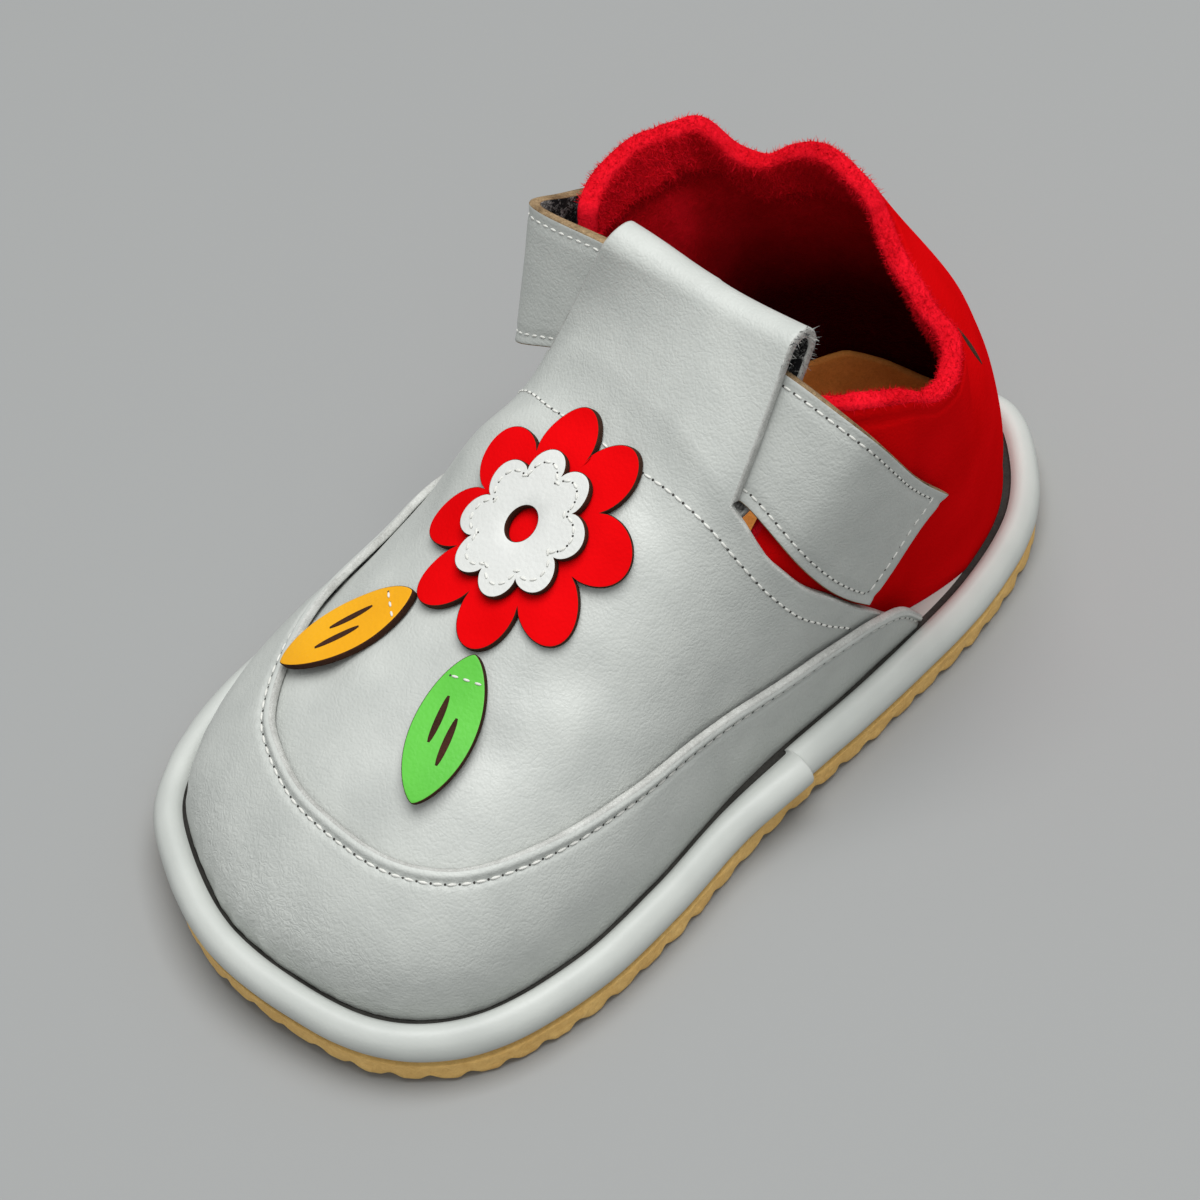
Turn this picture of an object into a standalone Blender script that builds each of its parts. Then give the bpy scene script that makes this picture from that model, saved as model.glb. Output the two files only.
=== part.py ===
# A toddler's barefoot shoe for the right foot, as the pieces that a maker cuts, wraps and sews.
# Lengths are in millimetres until a mesh is made. The toe points along -Y, the medial side of the foot
# is +X, the lateral side is -X, and the floor is z = 0.

import bisect
import functools
import math

import bmesh
import bpy
import numpy as np

MM = 0.001
GAP = 0.3  # between pieces that touch
QUARTER_TURN = math.pi / 2
SHARP_ANGLE = math.radians(40)  # edges sharper than this aren't shaded smooth
BISECTIONS = 24

# Sole outline: y, lateral x, medial x
SOLE = (
    (-71.0, -15.5, 22.5),
    (-64.0, -25.5, 34.0),
    (-52.0, -33.0, 40.8),
    (-36.0, -36.8, 42.0),
    (-20.0, -36.2, 39.2),
    (-4.0, -34.5, 34.8),
    (14.0, -32.5, 31.6),
    (32.0, -30.5, 28.4),
    (48.0, -27.5, 24.6),
    (62.0, -21.5, 18.0),
    (71.0, -11.5, 8.5),
)
TOE_TIP = (4.0, -75.0)
HEEL_TIP = (-1.5, 75.0)
RING_STEPS = 24  # curve points between two rows of the outline

# Underside: the forefoot and the heel are flat on the floor between these y values
FOREFOOT_FLAT = (-52.0, -12.0)
HEEL_FLAT = (24.0, 65.0)
TOE_SPRING = 3.0
HEEL_SPRING = 0.8
ARCH_LIFT = 0.8

# Outsole
OUTSOLE_TOP = 4.0
OUTSOLE_INSET = 0.4
TREAD_EDGE = 0.8  # bevel along the lower edge
RIB_STATIONS = 102  # stations along each side
RIB_CYCLE = 3  # one station in each cycle lies in a groove
GROOVE_DEPTH = 1.0

# Midsole wrapped in leather. Its rolled edge: inset from the outline, height
WRAP_STATIONS = 48
WRAP_ROLL = (
    (1.6, OUTSOLE_TOP + GAP),
    (0.3, 5.3),
    (0.0, 6.7),
    (0.7, 8.4),
    (2.2, 9.5),
    (3.6, 9.3),
    (4.7, 8.1),
)
WRAP_TOP = WRAP_ROLL[-1][1]
LAP_Y = 5.7  # where one end of the wrap laps over the other, on the medial side
LAP_RUN = 18.0
LAP_RISE = 1.7
LAP_STEP = 0.6  # length of the step down behind the lap

# Insole
INSOLE_THICKNESS = 1.8
INSOLE_STATIONS = 40
INSOLE_INSET = ((-75.0, 8.5), (-8.0, 8.5), (4.0, 10.3), (37.0, 10.3), (50.0, 7.7), (75.0, 7.7))  # y, inset
HEEL_CUP = ((44.0, 0.0), (50.0, 9.3), (57.0, 11.0), (62.0, 9.0), (66.0, 6.5), (75.0, 5.0))  # y, height
CUP_WALL = 1.3
CUP_FILLET = 0.6
CUP_BLEND = 2.0  # height over which its edge comes to lie against the quarter

# Last that the upper is sewn round, as the outside of the toe panel and of the heel
FEATHER_INSET = 5.0
FEATHER_Z = WRAP_TOP + GAP
TOE_FOCUS = -36.0  # the toe's sections fan out from here
HEEL_FOCUS = 44.0  # and the heel's from here
# y, ridge x, crown height, power of the lateral and the medial curve, outward flare for each unit of height
SPINE = (
    (-75.0, 3.0, 24.0, 2.2, 2.3, 0.0),
    (-60.0, 3.0, 29.5, 2.1, 2.3, 0.0),
    (-38.0, 2.8, 38.0, 1.95, 2.3, 0.0),
    (-20.0, 2.6, 46.5, 2.15, 2.4, 0.0),
    (-8.0, 2.4, 53.5, 2.85, 2.6, 0.0),
    (3.0, 2.0, 60.5, 3.0, 2.9, 0.0),
    (12.0, 1.2, 75.0, 2.95, 3.0, 0.06),
    (20.0, 0.5, 98.0, 3.0, 3.0, 0.11),
    (32.0, -0.4, 112.0, 3.0, 3.0, 0.14),
    (46.0, -1.2, 118.0, 3.0, 3.0, 0.14),
    (60.0, -1.5, 118.0, 3.0, 3.0, 0.07),
    (75.0, -1.5, 118.0, 3.0, 3.0, 0.0),
)
RIDGE, CROWN, LATERAL_POWER, MEDIAL_POWER, FLARE = 1, 2, 3, 4, 5
HEEL_LEAN = ((0.0, 0.0), (16.0, 2.0), (30.0, 6.0), (46.0, 12.5), (66.0, 21.0))  # height, forward shift
LEAN_FROM = 24.0  # the lean grows along y between these
LEAN_FULL = 66.0

# Toe panel: y, height of its stitched edge on the lateral and on the medial side
PANEL_EDGE = (
    (-70.0, 27.8, 27.8),
    (-52.0, 29.3, 27.5),
    (-30.0, 30.0, 27.2),
    (-10.0, 31.0, 25.5),
    (4.0, 28.5, 22.8),
    (16.0, 24.0, 22.0),
    (26.0, 19.8, 19.8),
    (33.0, 15.0, 15.0),
    (36.0, 10.5, 10.5),
)
PANEL_WALL = 1.2
PANEL_LEVELS = 6
PANEL_REAR = (9.5, 16.0, 22.0, 28.0, 33.0, 36.0)  # y of its stations behind the throat

# Vamp
VAMP_WALL = 1.5
VAMP_DEPTH = PANEL_WALL + GAP
THROAT_Y = (3.0, 5.8)  # lateral, medial
VAMP_ROWS = 10
VAMP_LEVELS = 12
THROAT_LEVEL = 7  # levels below this one run on into the wings
TOE_SPOKES = 16
TOE_TRIES = 100  # finer spokes on each side, for finding the one over a point
# y, height of the wings' edge
WING_EDGE = ((7.4, 46.6), (9.6, 42.6), (12.5, 38.0), (17.5, 31.9), (22.0, 25.8), (26.0, 20.8), (32.0, 12.5))

# Tongue, folded back over the strap
FOLD_LATERAL = (-14.0, 11.8, 72.4)
FOLD_MEDIAL = (16.6, 18.9, 72.2)
FOLD_RADIUS = 3.3
FOLD_STEPS = 6
TONGUE_ROWS = 5
TONGUE_SAG = 0.2
SEAM_RUN = 2.5  # how far the tongue's end runs under the vamp

# Heel quarter
QUARTER_WALL = 1.4
HEM_WALL = 2.4  # the folded edge of the collar
HEM_FROM = 0.86  # share of the height where the fold begins
QUARTER_COLUMNS = 56
QUARTER_ROWS = 11
QUARTER_DEPTH = ((0.0, 3.3), (36.0, 3.3), (48.0, 0.5), (76.0, 0.5))  # y, depth under the last
# Height, y of the front edge on the lateral and on the medial side
QUARTER_FRONT = (
    (8.0, 3.0, 3.0),
    (30.0, 4.0, 3.5),
    (45.0, 8.0, 5.5),
    (56.0, 12.5, 14.0),
    (66.0, 16.0, 22.0),
    (76.0, 19.0, 25.5),
)
# Share of the way round from the lateral front to the medial front, height of the collar, pull of its gathers
COLLAR = (
    (0.0, 67.5, -2.4),
    (0.05, 69.0, -2.2),
    (0.1, 69.8, -2.0),
    (0.18, 69.6, -1.0),
    (0.23, 70.2, 0.0),
    (0.26, 70.4, 0.0),
    (0.3, 66.4, 0.0),
    (0.335, 65.1, 0.0),
    (0.37, 66.0, -2.0),
    (0.43, 69.0, -1.9),
    (0.475, 68.5, 0.0),
    (0.54, 66.5, 2.3),
    (0.6, 64.0, 3.1),
    (0.66, 61.5, 1.7),
    (0.72, 59.3, -0.7),
    (0.78, 58.3, -0.4),
    (0.86, 60.3, 0.0),
    (0.9, 61.2, 0.9),
    (0.95, 62.3, 2.6),
    (1.0, 62.5, 5.3),
)
GATHER_FROM = 0.58  # share of the height where the gathers' inward pull begins

# Strap: y and height of its middle, half width, lean of its width from upright in degrees, and on the
# lateral side its depth under the last. On the medial side it lies on the heel quarter
STRAP_MEDIAL = (
    (33.0, 30.5, 10.3, 51.0),
    (26.8, 38.0, 10.3, 50.0),
    (21.3, 46.5, 10.3, 44.0),
    (17.2, 53.5, 10.3, 37.0),
)
STRAP_LATERAL = (
    (18.0, 54.0, 10.6, 10.0, -2.8),
    (27.0, 50.3, 10.2, 10.0, -2.2),
    (34.0, 47.5, 9.6, 10.0, -1.6),
    (38.5, 45.7, 8.0, 10.0, -1.6),
    (41.5, 44.5, 5.2, 10.0, -1.9),
    (43.0, 43.9, 2.4, 10.0, -2.2),
)
BEND_LOW = (-29.5, 5.0, 47.5)  # where the strap turns back round the lateral side
BEND_HIGH = (-32.5, 12.0, 67.0)
BEND_INWARD = (0.7, 0.7, 0.0)
STRAP_STEPS = 2  # stations between two rows
STRAP_BRIDGE = 5  # stations from a row to the tunnel
STRAP_ACROSS = 4
STRAP_WALL = 1.6
STRAP_WIDTH = 20.6
STRAP_SLACK = 0.6  # play in the tunnel
STRAP_DROP = (STRAP_SLACK, 3.4)  # of its upper edge below the fold, lateral and medial
TUNNEL_WIDTH = STRAP_WIDTH + 3 * STRAP_SLACK

# Hook-and-loop tape behind the tab
TAPE_WALL = 1.2
TAPE_SHARE = 0.9  # of the strap's width
TAPE_ENDS = (0, 8)  # stations of the lateral strap that it covers

# Applique: leather 1.2 mm thick, laid on the vamp
CUT_WALL = 1.2
FLOWER_AT = (2.0, -14.5)
PETALS = 8
PETAL_REACH = (10.0, 16.0)  # between petals, at their tips
PETAL_ROUNDNESS = 0.7  # less is blunter
DISC_REACH = (7.0, 9.5)
DISC_HOLE = 2.4
FLOWER_SPOKES = 40
LEAF_SPOKES = 24
LEAF_LENGTH = 19.0
LEAF_WIDTH = 9.0
LEAF_POINT = 0.4  # more is sharper
LEAF_GAP = 0.6  # from the petals
LEAF_YELLOW = 243.0  # degrees from +X that each leaf points, from the flower's middle
LEAF_GREEN = 297.0
INNER_RING = 0.5  # scale of the points inside a cut's edge

# Colours, roughness
GREY_LEATHER = ((0.52, 0.54, 0.51), 0.5)
RED_LEATHER = ((0.61, 0.01, 0.015), 0.5)
GUM_RUBBER = ((0.75, 0.42, 0.11), 0.6)
CAMEL_LEATHER = ((0.42, 0.12, 0.025), 0.65)
WHITE_LEATHER = ((0.7, 0.72, 0.69), 0.5)
YELLOW_LEATHER = ((0.84, 0.43, 0.01), 0.5)
GREEN_LEATHER = ((0.12, 0.54, 0.07), 0.5)
DARK_TAPE = ((0.13, 0.16, 0.2), 0.9)


def spline(points, steps, closed=False):
    # Smooth curve through the points
    rows = np.array(points, float)
    count = len(rows)
    curve = []
    for i in range(count if closed else count - 1):
        places = range(i - 1, i + 3)
        if closed:
            a, b, c, d = (rows[k % count] for k in places)
        else:
            a, b, c, d = (rows[min(max(k, 0), count - 1)] for k in places)
        for u in np.arange(steps) / steps:
            cubic = 3 * (b - c) + d - a
            square = 2 * a - 5 * b + 4 * c - d
            curve.append(b + 0.5 * u * (c - a + u * (square + u * cubic)))
    if not closed:
        curve.append(rows[-1])
    return np.array(curve)


@functools.lru_cache(maxsize=None)
def column_of(table, column):
    # The table's first column, another column and the slopes of that one
    rows = np.array(table, float)
    slopes = np.gradient(rows[:, column], rows[:, 0])
    return rows[:, 0].tolist(), rows[:, column].tolist(), slopes.tolist()


def along(table, at, column=1):
    # Smooth value of one column where the first column reads at
    knots, values, slopes = column_of(table, column)
    i = min(max(bisect.bisect_left(knots, at) - 1, 0), len(knots) - 2)
    width = knots[i + 1] - knots[i]
    u = min(max((at - knots[i]) / width, 0.0), 1.0)
    rise = values[i + 1] - values[i]
    bend = (1 - u) * slopes[i] - u * slopes[i + 1]
    return values[i] + u * rise + u * (1 - u) * (width * bend - rise * (1 - 2 * u))


def straight(table, at):
    rows = np.array(table, float)
    return float(np.interp(at, rows[:, 0], rows[:, 1]))


def eased(share):
    share = min(max(share, 0.0), 1.0)
    return share * share * (3 - 2 * share)


def ring_of_sole():
    medial = [(x, y) for y, _, x in SOLE]
    lateral = [(x, y) for y, x, _ in reversed(SOLE)]
    return spline([TOE_TIP, *medial, HEEL_TIP, *lateral], RING_STEPS, closed=True)


def shares_round(ring):
    # 0 at the toe tip, 1 at the heel tip by the medial side, on to 2 by the lateral side
    heel = RING_STEPS * (len(SOLE) + 1)
    run = np.linalg.norm(np.roll(ring, -1, axis=0) - ring, axis=1)
    walked = np.concatenate([[0.0], np.cumsum(run)])[: len(ring)]
    medial = walked / walked[heel]
    lateral = 1 + (walked - walked[heel]) / (run.sum() - walked[heel])
    return np.where(np.arange(len(ring)) < heel, medial, lateral)


def inward_of(ring):
    ahead = np.roll(ring, -1, axis=0) - np.roll(ring, 1, axis=0)
    ahead /= np.linalg.norm(ahead, axis=1)[:, None]
    return np.stack([-ahead[:, 1], ahead[:, 0]], axis=1)


RING = ring_of_sole()
SOLE_WIDTH = float(np.ptp(RING[:, 0]))
RING_SHARES = shares_round(RING)
RING_INWARD = inward_of(RING)
FEATHER = RING + FEATHER_INSET * RING_INWARD


def edge(share, inset):
    curve = RING + inset * RING_INWARD
    return np.array([np.interp(share, RING_SHARES, curve[:, i], period=2) for i in (0, 1)])


def feather(share):
    return np.array([np.interp(share, RING_SHARES, FEATHER[:, i], period=2) for i in (0, 1)])


def share_at(side, y):
    # Where the feather line passes y on one side: side is +1 medial, -1 lateral
    on_side = RING_SHARES <= 1 if side > 0 else RING_SHARES >= 1
    order = np.argsort(FEATHER[on_side][:, 1])
    return float(np.interp(y, FEATHER[on_side][order][:, 1], RING_SHARES[on_side][order]))


def lift(y):
    # Height of the sole's underside over the floor
    if y < FOREFOOT_FLAT[0]:
        return TOE_SPRING * ((FOREFOOT_FLAT[0] - y) / (FOREFOOT_FLAT[0] - TOE_TIP[1])) ** 2
    if y > HEEL_FLAT[1]:
        return HEEL_SPRING * ((y - HEEL_FLAT[1]) / (HEEL_TIP[1] - HEEL_FLAT[1])) ** 2
    if FOREFOOT_FLAT[1] < y < HEEL_FLAT[0]:
        waist = (y - FOREFOOT_FLAT[1]) / (HEEL_FLAT[0] - FOREFOOT_FLAT[1])
        return ARCH_LIFT * math.sin(math.pi * waist) ** 2
    return 0.0


def focus_of(y):
    # Middle of the section, or of the fan of sections, that y belongs to
    focus_y = min(max(y, TOE_FOCUS), HEEL_FOCUS)
    return np.array([along(SPINE, focus_y, RIDGE), focus_y])


def power_towards(focus, outward):
    lateral = along(SPINE, focus[1], LATERAL_POWER)
    medial = along(SPINE, focus[1], MEDIAL_POWER)
    return lateral + 0.5 * (1 + outward[0]) * (medial - lateral)


def last(share, level):
    # Point on the last: level is 0 at the feather line and 1 at the ridge
    foot = feather(share)
    focus = focus_of(foot[1])
    outward = (foot - focus) / np.linalg.norm(foot - focus)
    bend = 2 / power_towards(focus, outward)
    angle = QUARTER_TURN * min(max(level, 0.0), 1.0)
    plan = focus + (foot - focus) * max(math.cos(angle), 0.0) ** bend
    height = math.sin(angle) ** bend
    rise = (along(SPINE, plan[1], CROWN) - FEATHER_Z) * height
    plan = plan + outward * along(SPINE, foot[1], FLARE) * rise
    lean = along(HEEL_LEAN, rise) * eased((foot[1] - LEAN_FROM) / (LEAN_FULL - LEAN_FROM))
    return np.array([plan[0], plan[1] - lean, FEATHER_Z + lift(foot[1]) * (1 - height) + rise])


def outward_at(share, level):
    step = 0.004
    level = min(max(level, 0.0), 1 - 2 * step)
    round_it = last(share + step, level) - last(share - step, level)
    up_it = last(share, level + step) - last(share, max(level - step, 0.0))
    normal = np.cross(round_it, up_it)
    return normal / np.linalg.norm(normal)


def skin(share, level, depth):
    return last(share, level) - depth * outward_at(share, level)


def level_at(share, height):
    # Level at which the last reaches a height
    low, high = 0.0, 1.0
    for _ in range(BISECTIONS):
        middle = 0.5 * (low + high)
        if last(share, middle)[2] < height:
            low = middle
        else:
            high = middle
    return low


def wall(side, y, height, depth):
    share = share_at(side, y)
    return skin(share, level_at(share, height), depth)


def spot_on_vamp(x, y):
    # Share and level on the last that lie over a point of the plan, in front of the throat
    focus = focus_of(y)
    if y >= TOE_FOCUS:
        share = share_at(1 if x > focus[0] else -1, y)
    else:
        tries = np.arange(-TOE_TRIES, TOE_TRIES + 1) / (2 * TOE_TRIES)
        spokes = np.array([feather(share % 2) for share in tries]) - focus
        turns = np.arctan2(spokes[:, 0], -spokes[:, 1])
        share = float(np.interp(math.atan2(x - focus[0], focus[1] - y), turns, tries)) % 2
    spoke = feather(share) - focus
    full = np.linalg.norm(spoke)
    reach = np.linalg.norm(np.array([x, y]) - focus) / full
    power = power_towards(focus, spoke / full)
    return share, math.acos(min(reach ** (power / 2), 1.0)) / QUARTER_TURN


def leather(name, look):
    material = bpy.data.materials.new(name)
    material.use_nodes = True
    shader = material.node_tree.nodes["Principled BSDF"]
    shader.inputs["Base Color"].default_value = (*look[0], 1.0)
    shader.inputs["Roughness"].default_value = look[1]
    shader.inputs["Metallic"].default_value = 0.0
    return material


def piece(name, points, faces, look):
    # One named object from points in millimetres and closed faces
    mesh = bpy.data.meshes.new(name)
    mesh.from_pydata([tuple(MM * value for value in point) for point in points], [], faces)
    solid = bmesh.new()
    solid.from_mesh(mesh)
    bmesh.ops.recalc_face_normals(solid, faces=solid.faces)
    bmesh.ops.triangulate(solid, faces=solid.faces)
    solid.to_mesh(mesh)
    solid.free()
    mesh.shade_smooth()
    mesh.set_sharp_from_angle(angle=SHARP_ANGLE)
    mesh.materials.append(leather(name, look))
    made = bpy.data.objects.new(name, mesh)
    bpy.context.scene.collection.objects.link(made)
    made.parent = bpy.data.objects["shoe"]
    return made


def thick_piece(name, outside, inside, faces, look):
    # A sheet with a wall: the two skins share their faces, and the open edges are closed between them
    count = len(outside)
    uses = {}
    for face in faces:
        for a, b in zip(face, face[1:] + face[:1]):
            uses.setdefault(frozenset((a, b)), []).append((a, b))
    rims = [pairs[0] for pairs in uses.values() if len(pairs) == 1]
    walls = [(b, a, a + count, b + count) for a, b in rims]
    back = [tuple(count + k for k in reversed(face)) for face in faces]
    return piece(name, [*outside, *inside], [*faces, *back, *walls], look)


def grid_faces(rows, columns, closed=False):
    faces = []
    for i in range(rows - 1):
        for k in range(columns if closed else columns - 1):
            a, b = i * columns + k, i * columns + (k + 1) % columns
            faces.append((a, b, b + columns, a + columns))
    return faces


def stacked_piece(name, loops, look):
    # A solid from loops round the sole, lowest first, closed by strips from side to side
    count = len(loops[0])
    points = [point for loop in loops for point in loop]
    faces = grid_faces(len(loops), count, closed=True)
    top = count * (len(loops) - 1)
    for k in range(count // 2):
        strip = [k, k + 1, count - k - 1, (count - k) % count]
        strip = list(dict.fromkeys(strip))
        faces.append(tuple(reversed(strip)))
        faces.append(tuple(top + i for i in strip))
    return piece(name, points, faces, look)


def shares_both_sides(shares):
    # The same shares on the medial side and, backwards, on the lateral side
    return [*shares, *(2 - share for share in reversed(shares[1:-1]))]


def make_outsole():
    shares = list(np.arange(RIB_STATIONS + 1) / RIB_STATIONS)
    stations = [*range(RIB_STATIONS + 1), *range(RIB_STATIONS - 1, 0, -1)]
    loops = [[], [], []]
    for station, share in zip(stations, shares_both_sides(shares)):
        groove = GROOVE_DEPTH if station % RIB_CYCLE == RIB_CYCLE - 1 else 0.0
        rows = ((TREAD_EDGE, groove), (0.0, groove + TREAD_EDGE), (0.0, OUTSOLE_TOP))
        for loop, (inset, height) in zip(loops, rows):
            x, y = edge(share, OUTSOLE_INSET + inset)
            loop.append((x, y, height + lift(y)))
    return stacked_piece("outsole", loops, GUM_RUBBER)


def lap_of_wrap(share, y):
    # Outward swell of the rolled edge towards the end that laps over
    if share > 1 or not LAP_Y - LAP_RUN < y <= LAP_Y:
        return 0.0
    return LAP_RISE * eased(1 - (LAP_Y - y) / LAP_RUN)


def make_wrapped_midsole():
    lap_end = share_at(1, LAP_Y)
    lap_step = share_at(1, LAP_Y + LAP_STEP)
    even = np.arange(WRAP_STATIONS + 1) / WRAP_STATIONS
    shares = [share for share in even if not abs(share - lap_end) < 0.5 / WRAP_STATIONS]
    shares = sorted([*shares, lap_end, lap_step])
    loops = []
    for i, (inset, height) in enumerate(WRAP_ROLL):
        rolled = i < len(WRAP_ROLL) - 1
        loop = []
        for share in shares_both_sides(shares):
            y = feather(share)[1]
            swell = lap_of_wrap(share, y) if rolled else 0.0
            x, y = edge(share, inset - swell)
            loop.append((x, y, height + lift(y)))
        loops.append(loop)
    return stacked_piece("wrapped_midsole", loops, GREY_LEATHER)


def cup_edge(share, inset, height, depth):
    # Point of the insole's upper edge, which lies against the quarter where the heel cup is high
    y = feather(share)[1]
    flat = np.array([*edge(share, inset), height])
    if y < HEEL_CUP[0][0]:
        return flat
    leaning = skin(share, level_at(share, height), straight(QUARTER_DEPTH, y) + QUARTER_WALL + GAP + depth)
    return flat + eased(straight(HEEL_CUP, y) / CUP_BLEND) * (leaning - flat)


def make_insole():
    shares = list(np.arange(INSOLE_STATIONS + 1) / INSOLE_STATIONS)
    loops = [[], [], [], []]
    for share in shares_both_sides(shares):
        y = feather(share)[1]
        inset = straight(INSOLE_INSET, y)
        floor = FEATHER_Z + lift(y)
        top = floor + INSOLE_THICKNESS
        high = top + straight(HEEL_CUP, y)
        loops[0].append((*edge(share, inset), floor))
        loops[1].append(cup_edge(share, inset, high, 0.0))
        loops[2].append(cup_edge(share, inset + CUP_WALL, high, CUP_WALL))
        loops[3].append((*edge(share, inset + CUP_WALL + CUP_FILLET), top))
    return stacked_piece("insole", loops, CAMEL_LEATHER)


class Sheet:
    # Points of a sheet's two skins, and its faces
    def __init__(self):
        self.outside = []
        self.inside = []
        self.faces = []

    def add(self, outside, inside):
        self.outside.append(outside)
        self.inside.append(inside)
        return len(self.outside) - 1

    def add_skin(self, share, level, depth, wall_thickness):
        return self.add(skin(share, level, depth), skin(share, level, depth + wall_thickness))

    def join(self, first, second):
        # Faces between two rows of points that run the same way
        for k in range(min(len(first), len(second)) - 1):
            corners = (first[k], first[k + 1], second[k + 1], second[k])
            self.faces.append(tuple(dict.fromkeys(corners)))


def vamp_half_row(sheet, share, top, levels):
    # From the feather line up to the level top
    places = [top * k / (levels - 1) for k in range(levels)]
    return [sheet.add_skin(share, level, VAMP_DEPTH, VAMP_WALL) for level in places]


def vamp_front(sheet):
    # Arches from the toe's focus to the throat, and the spokes of the toe. Returns the arch at the throat
    arches = []
    for row in np.arange(VAMP_ROWS) / (VAMP_ROWS - 1):
        arch = []
        for k in range(2 * VAMP_LEVELS + 1):
            throat_y = THROAT_Y[0] + (THROAT_Y[1] - THROAT_Y[0]) * k / (2 * VAMP_LEVELS)
            share = share_at(-1 if k <= VAMP_LEVELS else 1, TOE_FOCUS + row * (throat_y - TOE_FOCUS))
            level = min(k, 2 * VAMP_LEVELS - k) / VAMP_LEVELS
            arch.append(sheet.add_skin(share, level, VAMP_DEPTH, VAMP_WALL))
        arches.append(arch)
    for first, second in zip(arches, arches[1:]):
        sheet.join(first, second)
    pole = arches[0][VAMP_LEVELS]
    start, end = share_at(-1, TOE_FOCUS) - 2, share_at(1, TOE_FOCUS)
    spokes = [arches[0][: VAMP_LEVELS + 1]]
    for share in np.linspace(start, end, TOE_SPOKES + 1)[1:-1]:
        spoke = [
            sheet.add_skin(share % 2, k / VAMP_LEVELS, VAMP_DEPTH, VAMP_WALL)
            for k in range(VAMP_LEVELS)
        ]
        spokes.append([*spoke, pole])
    spokes.append(list(reversed(arches[0][VAMP_LEVELS:])))
    for first, second in zip(spokes, spokes[1:]):
        sheet.join(first, second)
    return arches[-1]


def vamp_wings(sheet, throat):
    # Both sides run back and down from the throat
    for side, row in ((-1, throat[: THROAT_LEVEL + 1]), (1, throat[::-1][: THROAT_LEVEL + 1])):
        for y, height in WING_EDGE:
            share = share_at(side, y)
            following = vamp_half_row(sheet, share, level_at(share, height), THROAT_LEVEL + 1)
            sheet.join(row, following)
            row = following


def tongue_frames(sheet, root):
    # For each column of the tongue: its root, its place on the fold, the way up it and the way out of it
    frames = []
    across = np.array(FOLD_MEDIAL) - np.array(FOLD_LATERAL)
    for k, place in enumerate(root):
        start = np.array(sheet.outside[place])
        fold = np.array(FOLD_LATERAL) + across * k / (len(root) - 1)
        up = (fold - start) / np.linalg.norm(fold - start)
        out = np.cross(across, up)
        frames.append((start, fold, up, out / np.linalg.norm(out)))
    return frames


def tunnel_depth(start, fold):
    # Down to the tongue's root, or to below the strap's lower edge
    return max(np.linalg.norm(fold - start), TUNNEL_WIDTH)


def vamp_tongue(sheet, root, frames):
    # Up to the fold, round it, down behind the strap and under the vamp
    row = root
    for share in np.arange(1, TONGUE_ROWS + 1) / TONGUE_ROWS:
        following = []
        for start, fold, _, out in frames:
            point = start + share * (fold - start) - 4 * TONGUE_SAG * share * (1 - share) * out
            following.append(sheet.add(point, point - VAMP_WALL * out))
        sheet.join(row, following)
        row = following
    for turn in np.arange(1, FOLD_STEPS + 1) * math.pi / FOLD_STEPS:
        following = []
        for _, fold, up, out in frames:
            spoke = math.cos(turn) * out + math.sin(turn) * up
            outer = fold + FOLD_RADIUS * (spoke - out)
            following.append(sheet.add(outer, outer - VAMP_WALL * spoke))
        sheet.join(row, following)
        row = following
    for share in np.arange(1, TONGUE_ROWS + 1) / TONGUE_ROWS:
        following = []
        for start, fold, up, out in frames:
            point = fold - share * tunnel_depth(start, fold) * up - 2 * FOLD_RADIUS * out
            following.append(sheet.add(point, point + VAMP_WALL * out))
        sheet.join(row, following)
        row = following
    following = []
    for start, fold, up, out in frames:
        point = fold - (tunnel_depth(start, fold) + SEAM_RUN) * up - (2 * VAMP_WALL + GAP) * out
        following.append(sheet.add(point, point + VAMP_WALL * out))
    sheet.join(row, following)


def make_upper_vamp():
    # Returns the frames of the tongue, which the strap follows
    sheet = Sheet()
    throat = vamp_front(sheet)
    vamp_wings(sheet, throat)
    root = throat[THROAT_LEVEL : len(throat) - THROAT_LEVEL]
    frames = tongue_frames(sheet, root)
    vamp_tongue(sheet, root, frames)
    thick_piece("upper_vamp", sheet.outside, sheet.inside, sheet.faces, GREY_LEATHER)
    return frames


def panel_edge(share):
    # Height of the stitched edge. Round the toe it passes from the lateral height to the medial one
    foot = feather(share)
    lateral, medial = (along(PANEL_EDGE, foot[1], side) for side in (1, 2))
    return lateral + eased(0.5 + foot[0] / SOLE_WIDTH) * (medial - lateral)


def make_toe_panel():
    sheet = Sheet()
    sides = [*np.linspace(TOE_FOCUS, THROAT_Y[0], VAMP_ROWS), *PANEL_REAR]
    start, end = share_at(-1, TOE_FOCUS) - 2, share_at(1, TOE_FOCUS)
    shares = [share_at(-1, y) for y in reversed(sides)]
    shares += [share % 2 for share in np.linspace(start, end, TOE_SPOKES + 1)[1:-1]]
    shares += [share_at(1, y) for y in sides]
    rows = []
    for share in shares:
        top = level_at(share, panel_edge(share))
        places = [top * k / PANEL_LEVELS for k in range(PANEL_LEVELS + 1)]
        rows.append([sheet.add_skin(share, level, 0.0, PANEL_WALL) for level in places])
    for first, second in zip(rows, rows[1:]):
        sheet.join(first, second)
    thick_piece("toe_panel", sheet.outside, sheet.inside, sheet.faces, GREY_LEATHER)


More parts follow.
